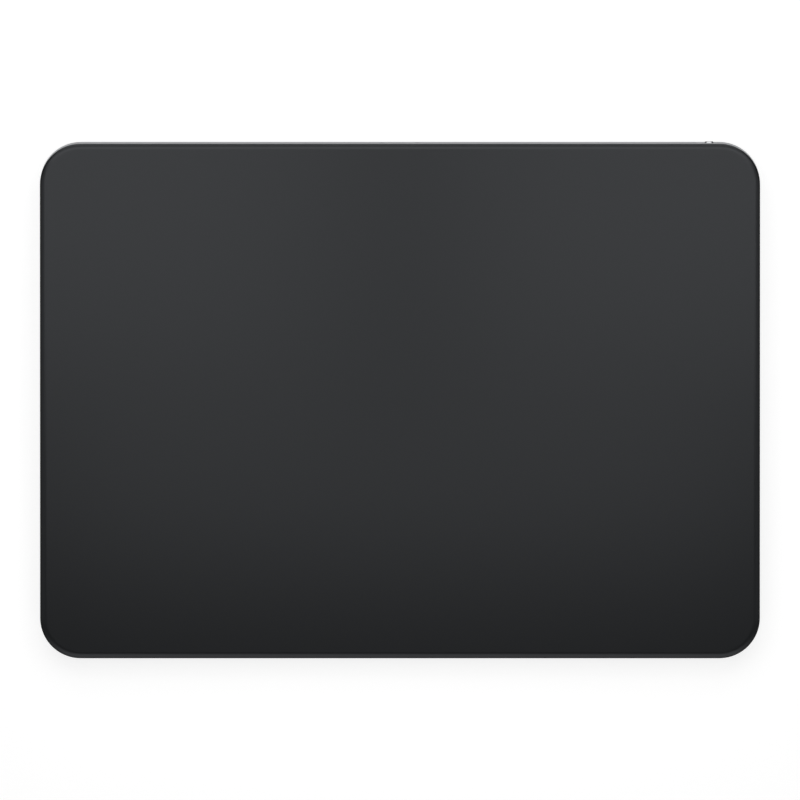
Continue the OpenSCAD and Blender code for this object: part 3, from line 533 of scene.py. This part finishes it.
# Boards and their parts
# The main board and the small switch board are fibreglass, masked green. Chips, a shield can and connectors
# are soldered to them, and blackened steel screws hold them to the housing's bosses.
chip_w = 5 * MM
chip_h = 0.9 * MM
chip_x = 35 * MM
chip_round = 0.15 * MM
chip_under = board_under - chip_h
dot_r = 0.35 * MM
dot_depth = 0.08 * MM
dot_inset = 0.9 * MM
dot_sides = 24
shield_w = 9 * MM
shield_d = 7 * MM
shield_h = 1.4 * MM
shield_x = -20.5 * MM
shield_round = 0.4 * MM
shield_steps = 4
shield_lip = 0.7 * MM
shield_step = 0.12 * MM
shield_middle = board_under - shield_h / 2
shield_under = board_under - shield_h
vent_r = 0.35 * MM
vent_pitch_x = 2 * MM
vent_pitch_v = 2.4 * MM
vent_sides = 24
connector_round = 0.1 * MM
screw_round = 0.08 * MM
flat_angle = math.radians(1)
chip_spots = [(side * chip_x, board_v) for side in both]
vent_spots = [
    (shield_x + column * vent_pitch_x, board_v + row * vent_pitch_v / 2)
    for column in (-1, 0, 1)
    for row in both
]


def cad_copy(node, name):
    """A free copy of a CAD node, without its tags and with its loose triangles merged to whole faces."""
    piece = copy_piece(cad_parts[node], name)
    piece.parent = None
    for key in list(piece.keys()):
        del piece[key]
    edit_all(piece)
    bpy.ops.mesh.remove_doubles(threshold=near)
    bpy.ops.mesh.dissolve_limited(angle_limit=flat_angle)
    leave_edit()
    return piece


def round_sharp_edges(piece, radius, angle, steps, clamp):
    """Rounds the edges at which the piece turns by more than that angle."""
    edit(piece, "EDGE", lambda edge: False)
    bpy.ops.mesh.edges_select_sharp(sharpness=math.radians(angle))
    bpy.ops.mesh.bevel(offset=radius, segments=steps, affect="EDGES", clamp_overlap=clamp)
    leave_edit()


def eased(node, name, radius):
    """A copy of a CAD node with its sharp edges rounded, as pressing, turning or moulding leaves them."""
    piece = cad_copy(node, name)
    round_sharp_edges(piece, radius, angle=40, steps=2, clamp=True)
    return piece


# Moulded epoxy resin, near black and dull, with the fine grit of its filler
chip_resin = grained_finish(
    "Moulded black resin", ("#191a1c", "#222326"), 0.25 * MM, (0.45, 0.6), 0.006 * MM
)
# Moulded nylon, ivory with a waxy sheen
nylon = grained_finish("Moulded nylon", ("#d9d4c6", "#e6e2d6"), 0.5 * MM, (0.4, 0.5), 0.004 * MM)
# Blackened steel, dark with a dull metal gleam on the heads
black_steel = grained_finish(
    "Blackened steel", ("#5a5c5f", "#6a6c70"), 0.2 * MM, (0.3, 0.45), 0.004 * MM, metallic=1.0
)
# Tin-plated sheet steel, pale and fairly bright, with the long faint lines of rolling
plated_steel = grained_finish(
    "Plated sheet steel",
    ("#a6a8ab", "#b4b6b9"),
    0.25 * MM,
    (0.24, 0.34),
    0.003 * MM,
    metallic=1.0,
    stretch=(1, 0.1, 1),
)
chip = start_block("chip", (chip_w, chip_w, chip_h), (0, 0, board_under - chip_h / 2))
round_edges(chip, chip_round, lambda edge: stands(edge) or lies_at(edge, Z, chip_under))
dot_place = chip_w / 2 - dot_inset
dot = start_disc("dot", dot_r, chip_under - chip_h, chip_under + dot_depth, dot_sides, dot_place, dot_place)
combine(chip, dot, "DIFFERENCE")
chips = set_on_deck(spread(chip, "chip_packages", chip_spots))
put(smooth(chips), chip_resin, "chassis", "board_chips")

shield = start_block("shield_lid", (shield_w, shield_d, shield_h), (shield_x, board_v, shield_middle))
round_edges(
    shield, shield_round, lambda edge: stands(edge) or lies_at(edge, Z, shield_under), shield_steps
)
edit(shield, "FACE", lambda face: lies_at(face, Z, shield_under))
bpy.ops.mesh.inset(thickness=shield_lip)
bpy.ops.mesh.inset(thickness=shield_step, depth=-shield_step)
leave_edit()
vent = start_disc("vent", vent_r, shield_under - shield_h, shield_middle, vent_sides)
combine(shield, spread(vent, "vents", vent_spots), "DIFFERENCE")
set_on_deck(shield)
put(smooth(shield), plated_steel, "chassis", "shield_can")

connectors = eased("board_connectors", "ribbon_connectors", connector_round)
put(smooth(connectors), nylon, "chassis", "board_connectors")
for place in ("board", "saddle", "switch", "flexure", "haptic"):
    screws = eased(f"{place}_screws", f"{place}_screw_set", screw_round)
    put(smooth(screws), black_steel, "chassis", f"{place}_screws")
dress(solder_mask, "main_board", "switch_board")

# Charging socket
# A seamless steel shell with a round mouth, pressed over an insulator whose tongue carries gold-plated
# contacts. A steel saddle passes under the shell and is screwed up through the main board.
socket_len = 7 * MM
socket_recess = 0.25 * MM
socket_wall = 0.3 * MM
socket_mouth = pad_d / 2 - socket_recess
socket_back = socket_mouth - socket_len
mouth_round = 0.1 * MM
mouth_steps = 3
insulator_len = 1.8 * MM
insulator_gap = 0.05 * MM
insulator_w = socket_w - 2 * (socket_wall + insulator_gap)
insulator_h = socket_h - 2 * (socket_wall + insulator_gap)
insulator_end = socket_back + insulator_len
tongue_w = 6.7 * MM
tongue_t = 0.7 * MM
tongue_recess = 0.6 * MM
tongue_chamfer = 0.2 * MM
tongue_end = socket_mouth - tongue_recess
tongue_len = tongue_end - socket_back
saddle_round = 0.1 * MM
# A face looks along an axis when its normal has more than this share there
mostly = 0.5


def bridge_open_rims():
    """Joins the open rims of the mesh in edit mode with a wall."""
    bpy.ops.mesh.select_mode(type="EDGE")
    bpy.ops.mesh.select_non_manifold()
    bpy.ops.mesh.bridge_edge_loops()


def faces_along(face, axis):
    return abs(face.normal[axis]) > mostly


def rims_wall(edge, axis, value):
    """Whether the edge lies at that value and borders a wall along the axis."""
    return lies_at(edge, axis, value) and not all(faces_along(face, axis) for face in edge.link_faces)


shell = start_bar("socket_shell", socket_w, socket_h, socket_h / 2 - near, socket_back, socket_mouth)
edit(shell, "FACE", lambda face: lies_at(face, Y, socket_back) or lies_at(face, Y, socket_mouth))
bpy.ops.mesh.inset(thickness=socket_wall)
bpy.ops.mesh.delete(type="FACE")
bridge_open_rims()
leave_edit()
round_edges(shell, mouth_round, lambda edge: rims_wall(edge, Y, socket_mouth), mouth_steps)
set_on_deck(shell)
put(smooth(shell), plated_steel, "chassis", "charge_socket_shell")

insulator = start_bar(
    "socket_tongue", insulator_w, insulator_h, insulator_h / 2 - near, socket_back, insulator_end
)
tongue = start_block(
    "tongue", (tongue_w, tongue_len, tongue_t), (0, (tongue_end + socket_back) / 2, socket_level)
)
round_edges(tongue, tongue_chamfer, lambda edge: lies_at(edge, Y, tongue_end))
combine(insulator, tongue, "UNION")
set_on_deck(insulator)
put(smooth(insulator), chip_resin, "chassis", "charge_socket_tongue")

# Gold plate, a warm bright yellow on the contacts
gold_plate = grained_finish(
    "Gold plate", ("#c8a04c", "#d8b35e"), 0.3 * MM, (0.22, 0.3), 0.002 * MM, metallic=1.0
)
dress(gold_plate, "charge_socket_contacts")
saddle = eased("socket_saddle", "saddle_strap", saddle_round)
put(smooth(saddle), plated_steel, "chassis", "socket_saddle")

# Power switch
# A small aluminium slider with a crowned nub runs in the slot, held in by a flange behind the wall.
# Its tail moves the stem of a slide switch, and it uncovers a green film on the backing plate when it is on.
slider_w = 2.6 * MM
slider_gap = 0.05 * MM
slider_recess = 0.1 * MM
slider_x = slot_x + (slot_len - slider_w - 2 * slider_gap) / 2
slider_face = pad_d / 2 - slider_recess
nub_w = 2 * MM
nub_h = 1.5 * MM
nub_rise = 0.35 * MM
nub_crown = 0.1 * MM
nub_crown_r = ((nub_w / 2) ** 2 + nub_crown**2) / (2 * nub_crown)
nub_end = pad_d / 2 + nub_rise
nub_bevel_w = 0.5 * MM
nub_bevel_h = 0.37 * MM
nub_steps = 8
nub_round = 0.06 * MM
flange_t = 0.7 * MM
flange_gap = 0.15 * MM
flange_lap = 0.6 * MM
flange_v = wall_v - flange_gap - flange_t
flange_top = socket_level + slot_h / 2 + flange_lap
backing_t = 0.5 * MM
backing_gap = 0.15 * MM
mark_t = 0.05 * MM
stem_w = 1.2 * MM
switch_d = 3.7 * MM
switch_h = 2.6 * MM
switch_round = 0.1 * MM
tail_t = 0.5 * MM
tail_gap = 0.2 * MM
tail_top = board_under - switch_h - tail_gap
tail_front = flange_v - backing_gap - mark_t - backing_t - switch_d / 2 - stem_w / 2
tail_len = flange_v + flange_t - tail_front
flange_h = flange_top - tail_top + tail_t
spare_angle = math.radians(0.2)


def heal(piece):
    """Takes out the slivers and spare points that joining flush faces leaves."""
    edit_all(piece)
    bpy.ops.mesh.remove_doubles(threshold=sliver)
    bpy.ops.mesh.dissolve_degenerate(threshold=sliver)
    bpy.ops.mesh.select_all(action="SELECT")
    bpy.ops.mesh.dissolve_limited(angle_limit=spare_angle)
    leave_edit()


slider = start_bar(
    "slider_nub", slider_w, slot_h - 2 * slider_gap, slot_r - slider_gap, flange_v, slider_face, slider_x
)
round_edges(slider, nub_round, lambda edge: lies_at(edge, Y, slider_face))
nub = start_block(
    "nub", (nub_w, nub_end - flange_v, nub_h), (slider_x, (nub_end + flange_v) / 2, socket_level)
)
for side in both:
    for up in both:
        bevel_place = (slider_x + side * (nub_w / 2 - nub_bevel_w), 0, socket_level + up * nub_h / 2)
        bevel_way = Vector((side * nub_bevel_h, 0, up * nub_bevel_w)).normalized()
        slice_piece(nub, bevel_place, bevel_way, clear=True)
for step in range(nub_steps + 1):
    offset = nub_w * (step / nub_steps - 0.5)
    slice_piece(nub, (slider_x + offset, 0, 0), (1, 0, 0))
    edit(nub, "EDGE", lambda edge: lies_at(edge, X, slider_x + offset) and lies_at(edge, Y, nub_end))
    bpy.ops.transform.translate(value=(0, math.sqrt(nub_crown_r**2 - offset**2) - nub_crown_r, 0))
    leave_edit()
round_sharp_edges(nub, nub_round, angle=30, steps=3, clamp=False)
combine(slider, nub, "UNION")
flange = start_block(
    "flange", (slider_w, flange_t, flange_h), (slider_x, flange_v + flange_t / 2, flange_top - flange_h / 2)
)
combine(slider, flange, "UNION")
tail = start_block(
    "tail", (slider_w, tail_len, tail_t), (slider_x, tail_front + tail_len / 2, tail_top - tail_t / 2)
)
combine(slider, tail, "UNION")
heal(slider)
set_on_deck(slider)

# Polished aluminium, clear anodised: brighter than the housing, with a clearer sheen along the nub's crown.
polished_aluminium = grained_finish(
    "Polished aluminium",
    ("#cfd0d2", "#d9dadc"),
    0.3 * MM,
    (0.16, 0.2),
    0.001 * MM,
    metallic=1.0,
    tint="#303132",
)
put(smooth(slider), polished_aluminium, "power_switch", "power_slider")

# Printed film, a clear leaf green that shows beside the nub when the pad is on
green_film = grained_finish(
    "Printed green film", ("#3fc75a", "#4bd768"), 0.4 * MM, (0.4, 0.5), 0.002 * MM
)
dress(green_film, "switch_on_mark")
for node, name, body in (
    ("switch_stem", "switch_lever", "power_switch"),
    ("switch_body", "switch_case", "chassis"),
    ("switch_backing", "backing_plate", "chassis"),
):
    put(smooth(eased(node, name, switch_round)), chip_resin, body, node)

# Battery
# A flat lithium pouch in a dark laminated foil, held under the web by two strips of white tape.
# Its protection board lies along its rear edge, and a ribbon joins that to the main board.
battery_w = 82 * MM
battery_d = 31 * MM
battery_t = 3.8 * MM
battery_v = 25.6 * MM
battery_tape_t = 0.15 * MM
battery_top = ceiling - battery_tape_t
seal_w = 2.2 * MM
seal_t = 0.3 * MM
seal_round = 0.1 * MM
pouch_corner_r = 1.6 * MM
pouch_edge_r = 1.1 * MM
pouch_steps = 6
pouch_middle = (0, battery_v, battery_top - battery_t / 2)
pouch = start_block("battery_pouch", (battery_w - 2 * seal_w, battery_d, battery_t), pouch_middle)
round_edges(pouch, pouch_corner_r, stands, pouch_steps)
round_edges(pouch, pouch_edge_r, lambda edge: lies_at(edge, Z, battery_top - battery_t), pouch_steps)
seal_middle = (0, battery_v, battery_top - seal_t / 2)
seal = start_block("seal", (battery_w, battery_d - 2 * pouch_corner_r, seal_t), seal_middle)
round_edges(seal, pouch_corner_r, stands, pouch_steps)
round_edges(seal, seal_round, lambda edge: lies_at(edge, Z, battery_top - seal_t))
combine(pouch, seal, "UNION")
heal(pouch)
set_on_deck(pouch)

# Laminated foil, dark grey and half glossy, with slow dents where it lies on the cell
pouch_foil = grained_finish("Laminated foil", ("#33373c", "#40454b"), 3 * MM, (0.35, 0.5), 0.06 * MM)
put(smooth(pouch), pouch_foil, "chassis", "battery_cell")
# White tape, matt, with the fine crepe of its paper
white_tape = grained_finish("White tape", ("#cfcbc0", "#dcd8cd"), 0.8 * MM, (0.5, 0.6), 0.006 * MM)
dress(white_tape, "battery_tape")
dress(solder_mask, "battery_protection_board")
# Polyimide film, a glossy amber over paler copper tracks, drawn 0.6 mm apart because the real 0.2 mm
# wouldn't show
ribbon_along, ribbon_across = (
    tracked_finish(
        f"Polyimide over copper, {way}", ("#9c6d2c", "#c08d49"), 0.6 * MM, (0.25, 0.35), 0.02 * MM, across
    )
    for way, across in (("lengthwise", "X"), ("crosswise", "Y"))
)
dress(ribbon_along, "battery_lead")

# Haptic actuator
# Two flat copper coils under a steel frame pull a magnet yoke sideways, and so tap the pad under the finger.
# Two leaf springs of rolled steel carry the yoke: their ends are clamped in posts, and their middles move.
haptic_w = 60 * MM
haptic_d = 28 * MM
post_d = 1.5 * MM
post_margin = 2.4 * MM
leaf_t = 0.2 * MM
leaf_h = 1.1 * MM
leaf_steps = 10
leaf_round = 0.03 * MM
leaf_x = haptic_w / 2 - post_margin
leaf_reach = haptic_d / 2 - post_d
springs_low, springs_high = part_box("haptic_springs")
leaf_middle = DECK.inverted() @ ((springs_low + springs_high) / 2)
# Rolled spring steel, a cool grey with fine rolling lines along each leaf
spring_steel = grained_finish(
    "Rolled spring steel",
    ("#a9abae", "#b7b9bc"),
    0.3 * MM,
    (0.25, 0.38),
    0.003 * MM,
    metallic=1.0,
    stretch=(0.1, 1, 1),
)
leaf = start_block("leaf", (leaf_t, leaf_reach, leaf_h), (0, leaf_reach / 2, leaf_middle.z))
round_edges(leaf, leaf_round, lambda edge: runs_along(edge, Y))
for step in range(1, leaf_steps):
    slice_piece(leaf, (0, leaf_reach * step / leaf_steps, 0), (0, 1, 0))
for side, side_name in zip(both, ("left", "right")):
    for end, end_name in zip(both, ("front", "rear")):
        move = (side * leaf_x, leaf_middle.y + min(end, 0) * leaf_reach, 0)
        spring = set_on_deck(copy_piece(leaf, f"leaf_spring_{end_name}_{side_name}", move))
        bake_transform(smooth(spring))
        give_finish(spring, spring_steel, "haptic_springs")
bpy.data.objects.remove(leaf)

# Each coil is a flat spiral of enamelled wire. Its 12 turns are drawn 0.5 mm apart, coarser than the real
# wire, and each turn is inset in five steps of a width and a rise, in millimetres.
coil_w = 20 * MM
coil_d = 18 * MM
coil_h = 0.6 * MM
coil_corner_r = 6.3 * MM
coil_pitch = 24 * MM
coil_turns = 12
coil_smooth_angle = 50
turn_steps = ((0.07, 0.09), (0.1, 0.04), (0.16, 0), (0.1, -0.04), (0.07, -0.09))
turn_rise = 0.13 * MM
haptic_plate_t = 0.4 * MM
coil_middle = ceiling - haptic_plate_t - coil_h / 2
coil = start_block("coil", (coil_w, coil_d, coil_h - 2 * turn_rise), (0, 0, coil_middle))
round_edges(coil, coil_corner_r, stands, corner_steps)
edit(coil, "FACE", lambda face: faces_along(face, Z))
for turn in range(coil_turns):
    for width, rise in turn_steps:
        bpy.ops.mesh.inset(thickness=width * MM, depth=rise * MM)
bpy.ops.mesh.delete(type="FACE")
bridge_open_rims()
bpy.ops.mesh.select_all(action="SELECT")
bpy.ops.mesh.normals_make_consistent(inside=False)
leave_edit()
coil_spots = [(side * coil_pitch / 2, haptic_v) for side in both]
coils = set_on_deck(spread(coil, "wound_coils", coil_spots))

# Enamelled copper wire, a warm brown with a glossy line of light on each turn
copper_wire = grained_finish(
    "Enamelled copper wire", ("#a5622f", "#b97440"), 0.8 * MM, (0.22, 0.32), 0.002 * MM, metallic=1.0
)
put(smooth(coils, coil_smooth_angle), copper_wire, "chassis", "haptic_coils")
# Nickel plate, a bright, faintly warm silver
nickel_plate = grained_finish(
    "Nickel plate", ("#a3a4a4", "#b1b2b2"), 0.5 * MM, (0.18, 0.26), 0.002 * MM, metallic=1.0
)
magnet_round = 0.12 * MM
yoke_round = 0.08 * MM
frame_round = 0.06 * MM
magnets = eased("haptic_magnets", "magnet_blocks", magnet_round)
put(smooth(magnets), nickel_plate, "haptic_mass", "haptic_magnets")
yoke = eased("haptic_yoke", "yoke_plate", yoke_round)
put(smooth(yoke), plated_steel, "haptic_mass", "haptic_yoke")
actuator_frame = eased("haptic_frame", "actuator_frame", frame_round)
put(smooth(actuator_frame), plated_steel, "chassis", "haptic_frame")
dress(ribbon_along, "haptic_lead")

# Force sensors
# Each foot hangs on a leaf of rolled spring steel, screwed to the housing at its root. A strain gauge on the
# neck feels how far a press bends it. The leaf and its gauge are cut into steps along the neck, where a
# press bends them.
flexure_root_w = 7 * MM
flexure_tip_r = 4 * MM
flexure_round = 0.05 * MM
neck_start = foot_x - flexure_reach + flexure_root_w / 2
neck_end = foot_x - flexure_tip_r
neck_middle = (neck_start + neck_end) / 2
neck_steps = 8
gauge_len = 4.5 * MM
gauge_w = 3 * MM
gauge_t = 0.05 * MM
gauge_round = 0.3 * MM
gauge_steps = 4
corners = [
    (x, y, f"{row}_{side}")
    for x, side in zip(both, ("left", "right"))
    for y, row in zip(both, ("front", "rear"))
]
# Gauge foil, a fine copper grid on amber film, drawn 0.4 mm apart because the real grid is finer than a
# pixel
gauge_foil = tracked_finish(
    "Gauge foil", ("#8f6127", "#c79352"), 0.4 * MM, (0.28, 0.38), 0.01 * MM, across="Y"
)
gauge = start_block("gauge", (gauge_len, gauge_w, gauge_t), (0, 0, flexure_top + gauge_t / 2))
round_edges(gauge, gauge_round, stands, gauge_steps)
for x, y, corner in corners:
    leaf = eased(f"flexure_{corner}", f"flexure_leaf_{corner}", flexure_round)
    foil = copy_piece(gauge, f"strain_gauge_{corner}", (x * neck_middle, y * foot_y, 0))
    for piece, material, slot_name, node in (
        (leaf, spring_steel, "spring_steel", f"flexure_{corner}"),
        (foil, gauge_foil, "ribbon_film", "strain_gauges"),
    ):
        for step in range(neck_steps + 1):
            cut_x = x * (neck_start + (neck_end - neck_start) * step / neck_steps)
            slice_piece(piece, (cut_x, 0, 0), (1, 0, 0))
        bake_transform(smooth(piece))
        give_finish(piece, material, node)
bpy.data.objects.remove(gauge)

# Feet
# Each foot is a disc of matt silicone rubber, moulded with a round lower edge and a shallow dish.
# It is bonded to a turned steel carrier, whose rivet is closed over the tip of the flexure.
foot_r = 5 * MM
foot_sides = 96
foot_pad_t = 0.8 * MM
foot_edge_r = 0.3 * MM
foot_edge_steps = 5
foot_dish_w = 0.9 * MM
foot_dish_depth = 0.06 * MM
carrier_round = 0.08 * MM
# Silicone rubber, a dull near black with a dusty bloom
silicone = grained_finish(
    "Silicone rubber", ("#19191a", "#232324"), 0.3 * MM, (0.65, 0.85), 0.016 * MM
)
# Turned steel, mid grey with a soft gleam
turned_steel = grained_finish(
    "Turned steel", ("#6b6d70", "#7b7d80"), 0.2 * MM, (0.3, 0.42), 0.004 * MM, metallic=1.0
)
sole = start_disc("sole", foot_r, 0, foot_pad_t, foot_sides)
edit(sole, "FACE", lambda face: lies_at(face, Z, 0))
bpy.ops.mesh.inset(thickness=foot_edge_r + foot_dish_w)
bpy.ops.mesh.inset(thickness=foot_dish_depth, depth=-foot_dish_depth)
leave_edit()
round_edges(sole, foot_edge_r, lambda edge: rims_wall(edge, Z, 0), foot_edge_steps)
for x, y, corner in corners:
    rubber = copy_piece(sole, f"foot_rubber_{corner}", (x * foot_x, y * foot_y, 0))
    put(smooth(rubber), silicone, f"foot_{corner}", f"foot_pad_{corner}")
    carrier = eased(f"foot_carrier_{corner}", f"carrier_disc_{corner}", carrier_round)
    put(smooth(carrier), turned_steel, f"foot_{corner}", f"foot_carrier_{corner}")
bpy.data.objects.remove(sole)

# Ribbons and antenna
# The sensor, force and switch ribbons are polyimide film with copper tracks, laid along the web to the main
# board. The radio antenna is a film on the inside of the bottom cover, reached by two gold spring pins.
pin_round = 0.1 * MM
dress(ribbon_across, "sensor_ribbon", "switch_ribbon")
dress(ribbon_along, "radio_antenna")
for side_name in ("left", "right"):
    film = cad_copy(f"force_ribbon_{side_name}", f"force_film_{side_name}")
    heal(film)
    put(smooth(film), ribbon_along, "chassis", f"force_ribbon_{side_name}")
pins = eased("antenna_pins", "spring_pins", pin_round)
put(smooth(pins), gold_plate, "chassis", "antenna_pins")

# Bottom cover
# A plate moulded in dark plastic with a fine spark-eroded texture, let into the housing's foot and held by
# tape. Four round holes let the feet through, and its edges are rounded.
cover_gap = 0.1 * MM
cover_round = 0.25 * MM
cover_steps = 3
foot_gap = 0.3 * MM
cover = start_plate("cover_plate", cover_border + cover_gap, foot_stand, cover_top, base_d, base_y)
foot_spots = [(x * foot_x, y * foot_y) for x, y, corner in corners]
foot_hole = start_disc("foot_hole", foot_r + foot_gap, 0, ledge_z, foot_sides)
combine(cover, spread(foot_hole, "foot_holes", foot_spots), "DIFFERENCE")
round_edges(cover, cover_round, lambda edge: rims_wall(edge, Z, foot_stand), cover_steps)
# Moulded plastic, dark grey and matt from the spark-eroded mould
moulded_plastic = grained_finish(
    "Moulded dark plastic", ("#28292b", "#343538"), 0.4 * MM, (0.44, 0.62), 0.03 * MM
)
put(smooth(cover), moulded_plastic, "chassis", "bottom_cover")
dress(adhesive_film, "cover_tape")

# Studio
# A plain white floor, soft boxes above and behind the pad and low fills round it. The floor shows white to
# the camera and in reflections, and a share of it that is lit by the lamps keeps the pad's soft shadow.
floor_size = 6
floor_white = 0.75
room_light = 0.15
bpy.ops.object.select_all(action="DESELECT")
bpy.ops.mesh.primitive_plane_add(size=floor_size)
floor = bpy.context.object
floor.name = "studio_floor"
paper = start_finish("White paper")
tree = paper.node_tree
path = add_node(tree, "ShaderNodeLightPath")
seen = add_node(
    tree,
    "ShaderNodeMath",
    {0: path.outputs["Is Camera Ray"], 1: path.outputs["Is Glossy Ray"]},
    operation="MAXIMUM",
)
shown = add_node(
    tree, "ShaderNodeMath", {0: seen.outputs[0], 1: path.outputs["Is Transmission Ray"]}, operation="MAXIMUM"
)
matt = add_node(tree, "ShaderNodeBsdfDiffuse", {"Color": hex_colour("#f2f2f2")})
white = add_node(tree, "ShaderNodeEmission", {"Strength": floor_white})
lit = add_node(tree, "ShaderNodeBsdfDiffuse", {"Color": hex_colour("#adadad")})
shaded = add_node(tree, "ShaderNodeAddShader", {0: white.outputs["Emission"], 1: lit.outputs["BSDF"]})
sheet = add_node(
    tree, "ShaderNodeMixShader", {0: shown.outputs[0], 1: matt.outputs["BSDF"], 2: shaded.outputs["Shader"]}
)
add_node(tree, "ShaderNodeOutputMaterial", {"Surface": sheet.outputs["Shader"]})
floor.data.materials.append(paper)

world = bpy.data.worlds.new("Soft room")
world.use_nodes = True
world.node_tree.nodes.clear()
sky = add_node(world.node_tree, "ShaderNodeBackground", {"Strength": room_light})
add_node(world.node_tree, "ShaderNodeOutputWorld", {"Surface": sky.outputs["Background"]})
bpy.context.scene.world = world


def soft_box(name, size, place, aim, brightness):
    """A soft box that shines at a point. A brightness of 1 is as bright as white paper."""
    bpy.ops.object.light_add(type="AREA", location=place)
    box = bpy.context.object
    box.name = name
    box.rotation_euler = (Vector(aim) - Vector(place)).to_track_quat("-Z", "Y").to_euler()
    box.visible_camera = False
    box.data.shape = "RECTANGLE"
    box.data.size, box.data.size_y = size
    box.data.energy = brightness * math.pi * size[0] * size[1]


# Two boxes overhead, a brighter one behind them and a small one before them give the glass its slow fade
# from the rear to the front. Each has its width and depth, its middle, its front edge and its brightness.
box_height = 0.2
box_w = 0.16
box_d = 0.115
box_gap = 0.015
box_x = (box_gap + box_w) / 2
box_front = -0.016
box_rear = box_front + box_d
for name, size, middle, front, brightness in (
    ("overhead_left", (box_w, box_d), -box_x, box_front, 1.09),
    ("overhead_right", (box_w, box_d), box_x, box_front, 1.09),
    ("overhead_middle", (0.18, 0.034), 0, -0.058, 0.96),
    ("overhead_rear", (0.5, 0.1), 0, box_rear, 1.55),
):
    y = front + size[1] / 2
    soft_box(name, size, (middle, y, box_height), (middle, y, 0), brightness)

# Low fills on all sides light the walls and draw the thin bright line along the glass edge. Each has its
# size, its place, the x that it is aimed at and its brightness.
outer_x = 0.475
for name, size, place, aim_x, brightness in (
    ("front_fill", (0.6, 0.4), (0, -0.5, 0.38), 0, 0.9),
    ("rear_fill", (1.0, 0.2), (0, 0.6, 0.34), 0, 1.65),
    ("left_fill", (0.2, 0.5), (-0.5, 0, 0.5), 0, 0.5),
    ("front_left_fill", (0.35, 0.4), (-outer_x, -0.5, 0.38), -outer_x, 0.45),
    ("right_fill", (0.2, 0.5), (0.5, 0, 0.5), 0, 0.5),
    ("front_right_fill", (0.35, 0.4), (outer_x, -0.5, 0.38), outer_x, 0.45),
):
    soft_box(name, size, place, (aim_x, 0, 0), brightness)

# The camera looks straight down from far off, so the pad shows almost no perspective
pixels_per_mm = 4.5
picture_px = 800
camera_reach = 7.5
aim_y = -0.05 * MM
bpy.ops.object.camera_add(location=(0, aim_y, deck_z + camera_reach), rotation=(0, 0, 0))
camera = bpy.context.object
camera.data.sensor_width = 36
camera.data.lens = camera.data.sensor_width * camera_reach / (picture_px / pixels_per_mm * MM)
camera.data.clip_end = 2 * camera_reach
bpy.context.scene.camera = camera
